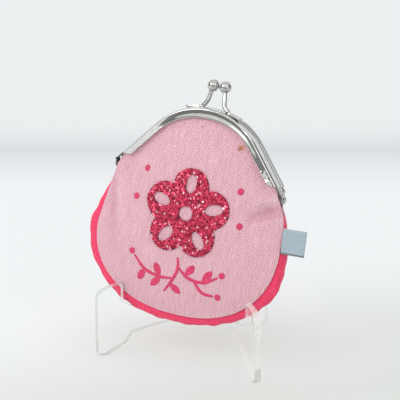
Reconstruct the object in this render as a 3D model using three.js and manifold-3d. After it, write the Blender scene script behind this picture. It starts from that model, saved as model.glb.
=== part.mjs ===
// A clasp coin purse standing on a clear two-plate easel. Millimetres, +Z up.
// The purse is drawn in a frame of its own: X to the right, Y to the back, Z up,
// with the origin midway between the two hinge rivets.
import * as THREE from 'three';
import { mergeVertices } from 'three/addons/utils/BufferGeometryUtils.js';
import Module from 'manifold-3d';

const wasm = await Module();
wasm.setup();

// Cloth and clearances
const GAP = 0.3;
const CLOTH = 1.2;

// Arch of the metal frame: an arc on top that runs into two straight legs
const ARCH = { radius: 34.5, centreZ: 1, halfSweep: THREE.MathUtils.degToRad(50), arcSteps: 18, legSteps: 3 };
const CHANNEL = {
  face: 5.3, legFace: 4.4, rear: 3.8, depth: 5, wall: 0.7, slant: 1.4, bendSteps: 5, endZ: 5.8,
};
const EAR = { radius: 2.1, hole: 1.1, thick: 0.9, reach: 4, stripNear: 1.7 };
const RIVET = { shank: 0.8, head: 1.6, headThick: 0.7, dome: 0.7, crown: 1.2, shoulder: 0.5, sides: 12 };
const BALL = { radius: 2.9, around: 14, rows: 10 };
const ARM = { radius: 1.1, sides: 8, steps: 8 };
const FOOT = { rise: 1.2, sink: 0.3, lift: 0.8, near: 1.1, far: 4.3, steps: 4 };

// One row for each half of the frame. side is -1 in front and 1 behind, ear is the inner x of its ears,
// foot is the stretch of the arch under its clasp foot, free end last, and arm runs from there to the ball.
const HALVES = [
  {
    name: 'front_frame', side: -1, ear: 42.6, foot: [8.6, 16.2],
    arm: [[8.8, -2.6, 35.2], [6.4, -2, 37.4], [5.2, -0.8, 41.5], [4.3, 0, 46.2]],
  },
  {
    name: 'back_frame', side: 1, ear: 41.3, foot: [-6, -14.6],
    arm: [[-6.3, 2.6, 35.5], [-4.1, 1.9, 38.4], [-2.7, 0.7, 42.5], [-1.8, 0, 46]],
  },
];

// Outline of the pouch, seen from the front: a fuller curve than an ellipse below its widest line,
// and a gentle taper from there up to the hinges, drawn in more on the left
const SEAM = { halfWidth: 47.5, midZ: -24, drop: 40.9, power: 2.3, depth: 4.5, steps: 13 };
const TAPER = {
  right: { topX: 46.2, topZ: -9, pullX: 47.5, pullZ: -16 },
  left: { topX: 43.6, topZ: -10, pullX: 45.6, pullZ: -17.5 },
  steps: 4,
};
const SEAM_TOP = { x: 43.2, z: -4, depth: 2, hingeDepth: 3.4 };
const TUCK = { inset: 1.6, depth: 2.8, length: 4 };

// Crown of the two panels
const CROWN = { x: 0, z: -20, depth: 11, power: 3 };
const FRONT_RINGS = [0.3, 0.55, 0.74, 0.84, 0.91, 0.96, 1];
const BACK_RINGS = [0.35, 0.65, 0.84, 0.93, 1];

// Folds of the front panel: a ridge (or a dent, where height is negative) along a line, thinning to its end
const FOLDS = [
  { from: [43, 1], to: [27, -7], width: 2.6, height: 1.5 },
  { from: [44, -2], to: [33, -10], width: 2.4, height: -1.8 },
  { from: [45, -6], to: [35, -17], width: 3, height: 1.3 },
  { from: [-42, -9], to: [-33, -34], width: 3, height: 1.1 },
  { from: [-44, -15], to: [-38, -38], width: 2.6, height: -1.1 },
];
const FOLD_EDGE = 0.05;

// Side band between the panels. It sways a little to the left, and fills out higher up on that side.
const GUSSET = {
  bulge: 4, sway: 0.18, start: 0.16, fullLeftZ: -22, fullRightZ: -30, arcSteps: 6, topSteps: 4, lowSteps: 22,
};

// Glitter cloth blossom on the front
const BLOSSOM = {
  x: 0.8, z: -15, petals: 5, petalOut: 12.6, petalRadius: 9.2, steps: 70,
  thick: 0.9, eye: 3.3, grid: 14, reach: 23,
};
const EYELET = { out: 14.2, along: 4.4, across: 2.5 };

// Folded ribbon tag on the right seam
const TAG = { x: 47.9, z: -18.2, length: 11.4, height: 12, thick: 1.3, turn: THREE.MathUtils.degToRad(-4) };

// Pose of the purse on the easel
const POSE = {
  x: -0.8, y: 15, z: 85,
  lean: THREE.MathUtils.degToRad(15), roll: THREE.MathUtils.degToRad(5.2),
};

// Easel: two like plates that cross behind the purse. Along a plate, w runs back from the lip. Under it, its
// edge climbs from the toe to a step, and on to an arch between the feet.
const PLATE = {
  thick: 3, turn: THREE.MathUtils.degToRad(49), lipX: 32.7, lipY: -6,
  front: -13.5, lipTop: 35.5, lipRound: 6, toeFlat: 4.5, toeRound: 2.5,
  seatFrontZ: 26, seatLowW: 11, seatLowZ: 19.3, uprightFootW: 20.2,
  uprightTopW: 38.5, uprightTopZ: 66, uprightWide: 7, uprightRound: 3,
  stepW: 1.5, stepZ: 4.3, archFrontW: 5, archFrontZ: 9, bridgeTop: 19.3, archZ: 12, archBackW: 66,
  heelW: 70, endW: 80, endZ: 8, slack: 0.3,
};

const MATERIALS = {
  canvas: { color: 0xeeb3c8, roughness: 0.9, metalness: 0 },
  band: { color: 0xe8265f, roughness: 0.85, metalness: 0 },
  glitter: { color: 0xcf1f58, roughness: 0.35, metalness: 0.3 },
  nickel: { color: 0xc9ccca, roughness: 0.2, metalness: 1 },
  ribbon: { color: 0xa9bccb, roughness: 0.6, metalness: 0 },
  acrylic: { color: 0xf2f6f6, roughness: 0.08, metalness: 0, transparent: true, opacity: 0.35 },
};

function mesh(name, finish, geometry) {
  const made = new THREE.Mesh(geometry, new THREE.MeshStandardMaterial(MATERIALS[finish]));
  made.name = name;
  return made;
}

// Evenly spaced values, both ends among them
function between(from, to, steps) {
  return Array.from({ length: steps + 1 }, (_, i) => from + (to - from) * i / steps);
}

// Six times the signed volume, which is negative where the faces point in
function signedVolume(points, faces) {
  const [a, b, c] = [new THREE.Vector3(), new THREE.Vector3(), new THREE.Vector3()];
  let sum = 0;
  for (let i = 0; i < faces.length; i += 3) {
    a.fromArray(points, 3 * faces[i]);
    b.fromArray(points, 3 * faces[i + 1]);
    c.fromArray(points, 3 * faces[i + 2]);
    sum += a.dot(b.cross(c));
  }
  return sum;
}

// A body from points and faces, with its faces turned outwards
function body(points, faces) {
  const outward = Array.from(faces);
  if (signedVolume(points, outward) < 0) outward.reverse();
  const geometry = new THREE.BufferGeometry();
  geometry.setAttribute('position', new THREE.Float32BufferAttribute(points, 3));
  geometry.setIndex(outward);
  return geometry;
}

// A geometry's closed mesh as a solid that can be joined and cut
function solid(geometry) {
  const bare = geometry.clone();
  bare.deleteAttribute('normal');
  bare.deleteAttribute('uv');
  const merged = mergeVertices(bare, 1e-4);
  const points = Array.from(merged.attributes.position.array);
  const faces = [];
  for (let i = 0; i < merged.index.count; i += 3) {
    const corners = Array.from(merged.index.array.slice(i, i + 3));
    if (new Set(corners).size === corners.length) faces.push(...corners);
  }
  if (signedVolume(points, faces) < 0) faces.reverse();
  return new wasm.Manifold(new wasm.Mesh({
    numProp: 3, vertProperties: new Float32Array(points), triVerts: new Uint32Array(faces),
  }));
}

function fromSolid(made) {
  const { vertProperties, triVerts } = made.getMesh();
  return body(Array.from(vertProperties), Array.from(triVerts));
}

// A body through a row of like sections, each a ring of [x, y, z], closed by a flat cap at each end.
// contour is the section drawn flat, which says how a cap is cut into triangles.
function loft(sections, contour) {
  const ring = contour.length;
  const faces = [];
  for (let i = 0; i + 1 < sections.length; i += 1) {
    for (let k = 0; k < ring; k += 1) {
      const [a, b] = [i * ring + k, i * ring + ((k + 1) % ring)];
      faces.push(a, b, a + ring, b, b + ring, a + ring);
    }
  }
  const last = (sections.length - 1) * ring;
  const flat = contour.map(([u, v]) => new THREE.Vector2(u, v));
  const turn = THREE.ShapeUtils.isClockWise(flat) ? -1 : 1;
  for (const [p, q, r] of THREE.ShapeUtils.triangulateShape(flat, [])) {
    const [b, c] = turn > 0 ? [q, r] : [r, q];
    faces.push(p, c, b, last + p, last + b, last + c);
  }
  return body(sections.flat(2), faces);
}

// The arch's outer edge at a distance along it from the top, with the direction that points outwards
function archAt(along) {
  const { radius, centreZ, halfSweep } = ARCH;
  const angle = THREE.MathUtils.clamp(along / radius, -halfSweep, halfSweep);
  const leg = along - radius * angle;
  const [nx, nz] = [Math.sin(angle), Math.cos(angle)];
  return { x: radius * nx + leg * nz, z: centreZ + radius * nz - leg * nx, nx, nz };
}

// The point a distance inside the arch's outer edge
function inset(along, distance) {
  const edge = archAt(along);
  return { x: edge.x - distance * edge.nx, z: edge.z - distance * edge.nz };
}

const ARC_LENGTH = ARCH.radius * ARCH.halfSweep;
const LEG_TOP = archAt(ARC_LENGTH);

// How far along the arch a line that runs inside its outer edge comes down to a height
function reachAt(height, distance) {
  return ARC_LENGTH + (LEG_TOP.z - distance * LEG_TOP.nz - height) / LEG_TOP.nx;
}

const ARCH_HALF = reachAt(CHANNEL.endZ, 0);

// Distances along the arch from end to end: close together on the arc, few on the straight legs
function archStops() {
  const leg = between(ARC_LENGTH, ARCH_HALF, ARCH.legSteps).slice(1);
  const arc = between(-ARC_LENGTH, ARC_LENGTH, ARCH.arcSteps);
  return [...leg.map((stop) => -stop).reverse(), ...arc, ...leg];
}

// A section of [distance in from the outer edge, y], which may change from stop to stop, swept along the arch
function sweepArch(sectionAt, stops) {
  const rings = stops.map((along, i) => sectionAt(i).map(([distance, y]) => {
    const { x, z } = inset(along, distance);
    return [x, y, z];
  }));
  return loft(rings, sectionAt(0));
}

// Curve of the spine from the face to the rear wall: a quarter of an ellipse, so that it starts with a crease
// at the face and then slants gently outwards
function spine(inside, steps) {
  const { depth, wall, slant } = CHANNEL;
  const run = depth - (inside ? 2 * wall : wall / 2);
  const start = inside ? wall : 0;
  return between(0, Math.PI / 2, steps).map((angle) => (
    [start + slant * (1 - Math.sin(angle)), start - GAP - depth + run * (1 - Math.cos(angle))]
  ));
}

// Folded sheet channel of the front half: a tall face, a slanted spine and a short rear wall.
// The face is lower on the legs than at the top of the arch.
function channelSection(along) {
  const { rear, depth, wall, bendSteps } = CHANNEL;
  const down = THREE.MathUtils.smoothstep(Math.abs(along), 0, ARC_LENGTH);
  const face = THREE.MathUtils.lerp(CHANNEL.face, CHANNEL.legFace, down);
  const front = -GAP - depth;
  const back = -GAP;
  return [
    [face, front], ...spine(false, bendSteps), [wall / 2, back], [rear, back], [rear, back - wall],
    ...spine(true, bendSteps - 2).reverse(), [face, front + wall],
  ];
}

// The channel along the whole arch, with its two ends cut level
function channel() {
  const rings = archStops().map((along) => channelSection(along).map(([distance, y]) => {
    const reach = reachAt(CHANNEL.endZ, distance);
    const { x, z } = inset(THREE.MathUtils.clamp(along, -reach, reach), distance);
    return [x, y, z];
  }));
  return loft(rings, channelSection(ARCH_HALF));
}

// An ear of the front half: a plate across X that carries the rivet, up to the leg's line at its outer face
function earPlate(innerX) {
  const { radius, hole, thick, reach } = EAR;
  const top = LEG_TOP.z - (innerX + thick - LEG_TOP.x) * LEG_TOP.nx / LEG_TOP.nz;
  const shape = new THREE.Shape();
  shape.moveTo(-reach, top);
  shape.lineTo(-radius, 0);
  shape.absarc(0, 0, radius, Math.PI, 2 * Math.PI + Math.acos(-GAP / radius), false);
  shape.lineTo(-GAP, top);
  shape.holes.push(new THREE.Path().absarc(0, 0, hole, 0, 2 * Math.PI, true));
  const plate = new THREE.ExtrudeGeometry(shape, { depth: thick, bevelEnabled: false, curveSegments: 10 });
  plate.applyMatrix4(new THREE.Matrix4().makeBasis(
    new THREE.Vector3(0, 1, 0), new THREE.Vector3(0, 0, 1), new THREE.Vector3(1, 0, 0),
  ));
  return plate.translate(innerX, 0, 0);
}

// Strip of the spine that runs on from the channel's end to the ear
function earStrip(innerX) {
  const { depth, wall } = CHANNEL;
  const end = ARC_LENGTH + (innerX + EAR.thick - LEG_TOP.x) / LEG_TOP.nz;
  const [front, back] = [-GAP - depth + wall, -EAR.stripNear];
  const section = [[wall, front], [0, back], [wall, back], [2 * wall, front]];
  return sweepArch(() => section, [ARCH_HALF - wall, end]);
}

function mirrored(geometry, x, y) {
  return geometry.clone().scale(x, y, 1);
}

// The clasp: a foot soldered on the arch that lifts towards its free end, a bent arm and a ball
function claspParts({ side, foot, arm }) {
  const { rise, sink, lift, near, far, steps } = FOOT;
  const section = (i) => {
    const up = lift * (i / steps) ** 2;
    const [top, low] = [-rise - up, sink - up];
    return [[top, side * near], [top, side * far], [low, side * far], [low, side * near]];
  };
  const plate = sweepArch(section, between(foot[0], foot[1], steps));
  const path = new THREE.CatmullRomCurve3(arm.map((point) => new THREE.Vector3(...point)));
  const wire = new THREE.ExtrudeGeometry(
    new THREE.Shape().absarc(0, 0, ARM.radius, 0, 2 * Math.PI),
    { steps: ARM.steps, extrudePath: path, curveSegments: ARM.sides, bevelEnabled: false },
  );
  const ball = new THREE.SphereGeometry(BALL.radius, BALL.around, BALL.rows);
  return [plate, wire, ball.translate(...arm.at(-1))];
}

// Half of the frame, soldered into one solid
function frameHalf(half) {
  const fixed = [channel()];
  for (const x of [-1, 1]) {
    fixed.push(mirrored(earPlate(half.ear), x, 1), mirrored(earStrip(half.ear), x, 1));
  }
  const parts = [...fixed.map((part) => mirrored(part, 1, -half.side)), ...claspParts(half)];
  return fromSolid(parts.map(solid).reduce((whole, part) => whole.add(part)));
}

// Rivet along X through the two ears, with its dome outside
function rivet(x) {
  const { shank, head, headThick, dome, crown, shoulder, sides } = RIVET;
  const inner = HALVES[1].ear - GAP;
  const outer = HALVES[0].ear + EAR.thick + GAP;
  const profile = [
    [0, inner - headThick], [head, inner - headThick], [head, inner], [shank, inner],
    [shank, outer], [head, outer], [crown, outer + shoulder], [0, outer + dome],
  ].map(([r, h]) => new THREE.Vector2(r, h));
  const lathe = new THREE.LatheGeometry(profile, sides).rotateZ(-Math.PI / 2);
  return x > 0 ? lathe : lathe.rotateZ(Math.PI);
}

// Half of the pouch's outline with a taper, drawn to the right, from the top of the arch down to the middle
// of the bottom. edge is the depth of the cloth there, and tuck is the length that the channel holds.
function halfOutline(taper) {
  const rows = [];
  const tucked = { edge: TUCK.depth, tuck: TUCK.length };
  for (const along of archStops().filter((stop) => stop > 0)) {
    rows.push({ ...inset(along, TUCK.inset), ...tucked });
  }
  rows.unshift({ ...inset(0, TUCK.inset), ...tucked });
  const end = rows.at(-1);
  rows.push({
    x: (end.x + SEAM_TOP.x) / 2, z: (end.z + SEAM_TOP.z) / 2, edge: SEAM_TOP.hingeDepth, tuck: 0,
  });
  for (const t of between(0, 1, TAPER.steps)) rows.push({ ...taperAt(t, taper), tuck: 0 });
  for (const t of between(0, 1, SEAM.steps).slice(1)) rows.push({ ...lowerSeamAt(t), tuck: 0 });
  return rows;
}

// The seam between the hinge and the widest line, for t from 0 to 1
function taperAt(t, { topX, topZ, pullX, pullZ }) {
  const curve = new THREE.CubicBezierCurve(
    new THREE.Vector2(SEAM_TOP.x, SEAM_TOP.z), new THREE.Vector2(topX, topZ),
    new THREE.Vector2(pullX, pullZ), new THREE.Vector2(SEAM.halfWidth, SEAM.midZ),
  );
  const point = curve.getPoint(t);
  return { x: point.x, z: point.y, edge: THREE.MathUtils.lerp(SEAM_TOP.depth, SEAM.depth, t) };
}

// The seam from the widest line to the middle of the bottom, for t from 0 to 1
function lowerSeamAt(t) {
  const angle = t * Math.PI / 2;
  const x = SEAM.halfWidth * Math.max(Math.cos(angle), 0) ** (2 / SEAM.power);
  const z = SEAM.midZ - SEAM.drop * Math.sin(angle) ** (2 / SEAM.power);
  return { x: t < 1 ? x : 0, z, edge: SEAM.depth };
}

// Rows of a half, turned round and to the left
function toLeft(rows) {
  return rows.map((row) => ({ ...row, x: -row.x })).reverse();
}

const OUTLINE = [...halfOutline(TAPER.right), ...toLeft(halfOutline(TAPER.left).slice(1, -1))];

function foldHeight(x, z) {
  let sum = 0;
  for (const { from, to, width, height } of FOLDS) {
    const [dx, dz] = [to[0] - from[0], to[1] - from[1]];
    const t = THREE.MathUtils.clamp(((x - from[0]) * dx + (z - from[1]) * dz) / (dx * dx + dz * dz), 0, 1);
    const away = Math.hypot(x - from[0] - t * dx, z - from[1] - t * dz);
    sum += height * Math.cos(t * Math.PI / 2) * Math.exp(-((away / width) ** 2));
  }
  return sum;
}

// Depth of a panel's middle surface at a share of the way from the crown's centre to a point of the rim
function panelDepth(share, rim, folded) {
  const reach = Math.hypot(rim.x - CROWN.x, rim.z - CROWN.z);
  const free = Math.min(1, share / (1 - rim.tuck / reach));
  const crown = rim.edge + (CROWN.depth - rim.edge) * (1 - free ** CROWN.power);
  if (!folded) return crown;
  const fade = Math.min(1, (1 - free) / FOLD_EDGE);
  return crown + fade * foldHeight(CROWN.x + share * (rim.x - CROWN.x), CROWN.z + share * (rim.z - CROWN.z));
}

// A crowned cloth wall in rings round the crown's centre, with an outer and an inner face
function panel(side, rings, folded) {
  const around = OUTLINE.length;
  const points = [];
  for (const half of [CLOTH / 2, -CLOTH / 2]) {
    points.push([CROWN.x, side * (CROWN.depth + half), CROWN.z]);
    for (const share of rings) {
      for (const rim of OUTLINE) {
        const [x, z] = [CROWN.x + share * (rim.x - CROWN.x), CROWN.z + share * (rim.z - CROWN.z)];
        points.push([x, side * (panelDepth(share, rim, folded) + half), z]);
      }
    }
  }
  const faces = [];
  const layer = 1 + rings.length * around;
  const at = (face, ring, k) => face * layer + 1 + ring * around + (k % around);
  for (let k = 0; k < around; k += 1) {
    faces.push(0, at(0, 0, k), at(0, 0, k + 1), layer, at(1, 0, k + 1), at(1, 0, k));
    for (let ring = 0; ring + 1 < rings.length; ring += 1) {
      const outer = [at(0, ring, k), at(0, ring + 1, k), at(0, ring, k + 1), at(0, ring + 1, k + 1)];
      const inner = [at(1, ring, k), at(1, ring + 1, k), at(1, ring, k + 1), at(1, ring + 1, k + 1)];
      faces.push(outer[0], outer[1], outer[2], outer[2], outer[1], outer[3]);
      faces.push(inner[0], inner[2], inner[1], inner[2], inner[3], inner[1]);
    }
    const rim = [at(0, rings.length - 1, k), at(0, rings.length - 1, k + 1)];
    faces.push(rim[0], rim[0] + layer, rim[1], rim[1], rim[0] + layer, rim[1] + layer);
  }
  return body(points.flat(), faces);
}

// Stations of the side band, from under the right hinge round the bottom to the left hinge
function bandStations() {
  const lower = between(0, 1, GUSSET.lowSteps).slice(1).map(lowerSeamAt);
  const half = (taper) => {
    const upper = between(GUSSET.start, 1, GUSSET.topSteps).map((t) => taperAt(t, taper));
    return [...upper, ...lower];
  };
  return [...half(TAPER.right), ...toLeft(half(TAPER.left).slice(0, -1))];
}

// The band's section at a station, as a half-round wall of [distance out from the seam, y].
// It thins out to nothing below the hinges.
function bandSection({ x, z, edge }) {
  const [taper, fullZ] = x < 0 ? [TAPER.left, GUSSET.fullLeftZ] : [TAPER.right, GUSSET.fullRightZ];
  const topZ = taperAt(GUSSET.start, taper).z;
  const full = THREE.MathUtils.clamp((topZ - z) / (topZ - fullZ), 0, 1);
  const out = GAP + full * GUSSET.bulge * (1 - GUSSET.sway * x / SEAM.halfWidth);
  const deep = edge - CLOTH / 2 - GAP;
  const arc = (inward) => between(-Math.PI / 2, Math.PI / 2, GUSSET.arcSteps).map((angle) => (
    [(out - inward) * Math.cos(angle), (deep - inward) * Math.sin(angle)]
  ));
  return [...arc(0), ...arc(CLOTH).reverse()];
}

// The side band: a half-round cloth wall that follows the seam
function band() {
  const stations = bandStations();
  const rings = stations.map((here, i) => {
    const [before, after] = [stations[Math.max(i - 1, 0)], stations[Math.min(i + 1, stations.length - 1)]];
    const along = new THREE.Vector2(after.x - before.x, after.z - before.z).normalize();
    return bandSection(here).map(([out, y]) => [here.x - along.y * out, y, here.z + along.x * out]);
  });
  return loft(rings, bandSection(stations[GUSSET.topSteps]));
}

// Distance from the blossom's centre to its edge: the outermost of a ring of round petals
function petalReach(angle) {
  const { petals, petalOut, petalRadius } = BLOSSOM;
  const step = 2 * Math.PI / petals;
  const off = angle - step * Math.round(angle / step);
  return petalOut * Math.cos(off) + Math.sqrt(petalRadius ** 2 - (petalOut * Math.sin(off)) ** 2);
}

// The blossom drawn flat, with its first petal up, an eyelet in each petal and a round eye
function blossomShape() {
  const { petals, steps, eye } = BLOSSOM;
  const turn = (angle) => [-Math.sin(angle), Math.cos(angle)];
  const edge = between(0, 2 * Math.PI, steps).slice(0, -1).map((angle) => {
    const [x, z] = turn(angle);
    return new THREE.Vector2(x, z).multiplyScalar(petalReach(angle));
  });
  const shape = new THREE.Shape(edge);
  shape.holes.push(new THREE.Path().absarc(0, 0, eye, 0, 2 * Math.PI, true));
  for (let k = 0; k < petals; k += 1) {
    const angle = 2 * Math.PI * k / petals;
    const [x, z] = turn(angle);
    shape.holes.push(new THREE.Path().absellipse(
      x * EYELET.out, z * EYELET.out, EYELET.along, EYELET.across, 0, 2 * Math.PI, true, Math.PI / 2 + angle,
    ));
  }
  return shape;
}

// Depth of the front panel's middle surface under a point of the front view
function frontDepthAt(x, z) {
  const [dx, dz] = [x - CROWN.x, z - CROWN.z];
  for (let k = 0; k < OUTLINE.length; k += 1) {
    const [a, b] = [OUTLINE[k], OUTLINE[(k + 1) % OUTLINE.length]];
    const [ax, az, bx, bz] = [a.x - CROWN.x, a.z - CROWN.z, b.x - CROWN.x, b.z - CROWN.z];
    const [fromA, fromB] = [ax * dz - az * dx, dx * bz - dz * bx];
    const whole = fromA + fromB;
    if (fromA * fromB < 0 || dx * (ax + bx) + dz * (az + bz) <= 0 || whole === 0) continue;
    const part = fromA / whole;
    const mix = (key) => a[key] + part * (b[key] - a[key]);
    const rim = { x: mix('x'), z: mix('z'), edge: mix('edge'), tuck: mix('tuck') };
    return panelDepth(Math.hypot(dx, dz) / Math.hypot(rim.x - CROWN.x, rim.z - CROWN.z), rim, true);
  }
  return CROWN.depth;
}

// A slab that lies on the front panel over the blossom's square
function frontSlab() {
  const { x, z, reach, grid, thick } = BLOSSOM;
  const points = [];
  for (const lift of [CLOTH / 2 + GAP + thick, CLOTH / 2 + GAP]) {
    for (const dz of between(-reach, reach, grid)) {
      for (const dx of between(-reach, reach, grid)) {
        points.push([x + dx, -frontDepthAt(x + dx, z + dz) - lift, z + dz]);
      }
    }
  }
  const row = grid + 1;
  const layer = row * row;
  const faces = [];
  for (let j = 0; j < grid; j += 1) {
    for (let i = 0; i < grid; i += 1) {
      const a = j * row + i;
      faces.push(a, a + 1, a + row, a + 1, a + row + 1, a + row);
      faces.push(layer + a, layer + a + row, layer + a + 1);
      faces.push(layer + a + 1, layer + a + row, layer + a + row + 1);
    }
  }
  const edge = [];
  for (let i = 0; i < grid; i += 1) edge.push(i);
  for (let j = 0; j < grid; j += 1) edge.push(j * row + grid);
  for (let i = grid; i > 0; i -= 1) edge.push(grid * row + i);
  for (let j = grid; j > 0; j -= 1) edge.push(j * row);
  edge.forEach((a, k) => {
    const b = edge[(k + 1) % edge.length];
    faces.push(a, layer + a, b, b, layer + a, layer + b);
  });
  return body(points.flat(), faces);
}

// The blossom: the slab cut to the blossom's outline
function blossom() {
  const depth = 2 * CROWN.depth;
  const prism = new THREE.ExtrudeGeometry(blossomShape(), { depth, bevelEnabled: false, curveSegments: 9 });
  prism.rotateX(Math.PI / 2).translate(BLOSSOM.x, 0, BLOSSOM.z);
  return fromSolid(solid(frontSlab()).intersect(solid(prism)));
}

// The tag: a ribbon folded on itself, with its fold outwards
function tag() {
  const { x, z, length, height, thick, turn } = TAG;
  const shape = new THREE.Shape();
  shape.moveTo(0, -thick / 2);
  shape.lineTo(length - thick / 2, -thick / 2);
  shape.absarc(length - thick / 2, 0, thick / 2, -Math.PI / 2, Math.PI / 2, false);
  shape.lineTo(0, thick / 2);
  const strip = new THREE.ExtrudeGeometry(shape, { depth: height, bevelEnabled: false, curveSegments: 4 });
  strip.translate(0, 0, -height / 2).rotateY(turn);
  return strip.translate(x, -SEAM.depth + CLOTH / 2 - thick / 2, z);
}

// One plate of the easel in its own plane. slotFromTop says which way its half-lap slot opens.
function plateShape(slotFromTop) {
  const p = PLATE;
  const crossing = p.lipX / Math.cos(p.turn);
  const meet = Math.PI - 2 * p.turn;
  const slotHalf = p.thick * (1 + Math.abs(Math.cos(meet))) / Math.sin(meet) / 2 + p.slack;
  const slotMid = (p.bridgeTop + p.archZ) / 2 + (slotFromTop ? -p.slack : p.slack);
  const uprightBack = p.uprightTopW + p.uprightWide;
  const shape = new THREE.Shape();
  shape.moveTo(p.front + p.toeRound, 0);
  shape.lineTo(p.front + p.toeFlat, 0);
  shape.lineTo(p.stepW, p.stepZ);
  shape.lineTo(p.archFrontW, p.archFrontZ);
  shape.quadraticCurveTo(p.uprightFootW, p.archZ, crossing - slotHalf, p.archZ);
  if (!slotFromTop) {
    shape.lineTo(crossing - slotHalf, slotMid);
    shape.lineTo(crossing + slotHalf, slotMid);
  }
  shape.lineTo(crossing + slotHalf, p.archZ);
  shape.quadraticCurveTo(p.archBackW, p.archZ, p.heelW, 0);
  shape.lineTo(p.endW, 0);
  shape.lineTo(p.endW, p.endZ);
  shape.quadraticCurveTo(p.archBackW, p.bridgeTop, crossing + slotHalf, p.bridgeTop);
  if (slotFromTop) {
    shape.lineTo(crossing + slotHalf, slotMid);
    shape.lineTo(crossing - slotHalf, slotMid);
  }
  shape.lineTo(crossing - slotHalf, p.bridgeTop);
  shape.lineTo(p.uprightFootW + 2 * p.uprightWide, p.bridgeTop);
  shape.lineTo(uprightBack, p.uprightTopZ - p.uprightRound);
  shape.quadraticCurveTo(uprightBack, p.uprightTopZ, uprightBack - p.uprightRound, p.uprightTopZ);
  shape.lineTo(p.uprightTopW, p.uprightTopZ);
  shape.lineTo(p.uprightFootW, p.seatLowZ);
  shape.lineTo(p.seatLowW, p.seatLowZ);
  shape.lineTo(0, p.seatFrontZ);
  shape.lineTo(0, p.lipTop);
  shape.quadraticCurveTo(p.front, p.lipTop, p.front, p.lipTop - p.lipRound);
  shape.lineTo(p.front, p.toeRound);
  shape.quadraticCurveTo(p.front, 0, p.front + p.toeRound, 0);
  return shape;
}

function plate(side, slotFromTop) {
  const p = PLATE;
  const flat = new THREE.ExtrudeGeometry(
    plateShape(slotFromTop), { depth: p.thick, bevelEnabled: false, curveSegments: 6 },
  );
  flat.translate(0, 0, -p.thick / 2).rotateX(Math.PI / 2);
  flat.rotateZ(side < 0 ? p.turn : Math.PI - p.turn);
  return flat.translate(side * p.lipX, p.lipY, 0);
}

const purse = new THREE.Group();
purse.add(mesh('front_panel', 'canvas', panel(-1, FRONT_RINGS, true)));
purse.add(mesh('back_panel', 'canvas', panel(1, BACK_RINGS, false)));
purse.add(mesh('gusset', 'band', band()));
for (const half of HALVES) purse.add(mesh(half.name, 'nickel', frameHalf(half)));
purse.add(mesh('hinge_rivet_left', 'nickel', rivet(-1)));
purse.add(mesh('hinge_rivet_right', 'nickel', rivet(1)));
purse.add(mesh('applique', 'glitter', blossom()));
purse.add(mesh('side_tag', 'ribbon', tag()));
purse.rotation.set(-POSE.lean, POSE.roll, 0, 'XYZ');
purse.position.set(POSE.x, POSE.y, POSE.z);

const part = new THREE.Group();
part.add(purse);
part.add(mesh('stand_left', 'acrylic', plate(-1, true)));
part.add(mesh('stand_right', 'acrylic', plate(1, false)));

// The origin is the middle of the part's footprint, on the surface that it stands on
part.updateMatrixWorld(true);
const box = new THREE.Box3().setFromObject(part, true);
part.position.set(-(box.min.x + box.max.x) / 2, -(box.min.y + box.max.y) / 2, -box.min.z);

export default part;
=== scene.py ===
"""Looks of the clasp coin purse on its clear easel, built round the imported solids.

Shapes are worked out in millimetres. The purse has a frame of its own, X to the right, Y to the back,
Z up, with the origin midway between its two hinge rivets, and PURSE places that frame in the part's.
"""
import math

import bmesh
import bpy
import numpy as np
from mathutils import Matrix, Vector


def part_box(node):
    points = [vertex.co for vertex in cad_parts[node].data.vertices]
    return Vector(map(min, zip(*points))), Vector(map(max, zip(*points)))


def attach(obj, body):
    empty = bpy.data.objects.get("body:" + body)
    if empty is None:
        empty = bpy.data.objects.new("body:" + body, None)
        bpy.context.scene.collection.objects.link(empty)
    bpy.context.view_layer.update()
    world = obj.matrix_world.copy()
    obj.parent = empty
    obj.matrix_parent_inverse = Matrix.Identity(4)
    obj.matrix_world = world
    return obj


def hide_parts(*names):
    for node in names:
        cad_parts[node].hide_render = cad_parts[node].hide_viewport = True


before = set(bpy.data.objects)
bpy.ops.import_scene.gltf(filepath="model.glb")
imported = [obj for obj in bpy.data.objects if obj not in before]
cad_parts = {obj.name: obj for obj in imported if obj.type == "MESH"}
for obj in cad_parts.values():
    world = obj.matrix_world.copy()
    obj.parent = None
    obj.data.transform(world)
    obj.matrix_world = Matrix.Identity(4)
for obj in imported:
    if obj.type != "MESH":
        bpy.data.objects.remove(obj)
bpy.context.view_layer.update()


class Sizes:
    """Named sizes of one thing."""

    def __init__(self, **sizes):
        for name, value in sizes.items():
            setattr(self, name, value)


MM = 0.001
SEED = 7
# Clearance of the metal parts, thickness of the canvas, and room between the band and the walls
GAP = 0.3
CLOTH = 1.2
SEWN = 0.02

# How the purse leans back on its easel, and rolls to one side
LEAN, ROLL = math.radians(15), math.radians(5.2)

# How many points or rows each shape has
STEPS = Sizes(
    channel=300, spine=24, face=22, corner=6, ear=44, ear_side=9, strip=6, arm=10, arm_round=24, ball=28,
    ball_round=44, foot=14, foot_edge=8, dome=9, arch_edge=42, leg_edge=16, taper=22, seam=72, panel=30,
    panel_edge=34, band=1150, band_across=15, band_taper=120, band_seam=600, stitch=7, stitch_round=6,
    stem=40, tag=25, tag_side=24, tag_fold=12,
)

# Metal frame: an arc on top that runs into two straight legs, folded from sheet
ARCH = Sizes(radius=34.5, centre_z=1.0, half_sweep=math.radians(50), end_z=5.8)
CHANNEL = Sizes(face=5.3, leg_face=4.4, rear=3.8, depth=5.0, wall=0.7, lip=0.35, corner=0.6)
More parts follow.
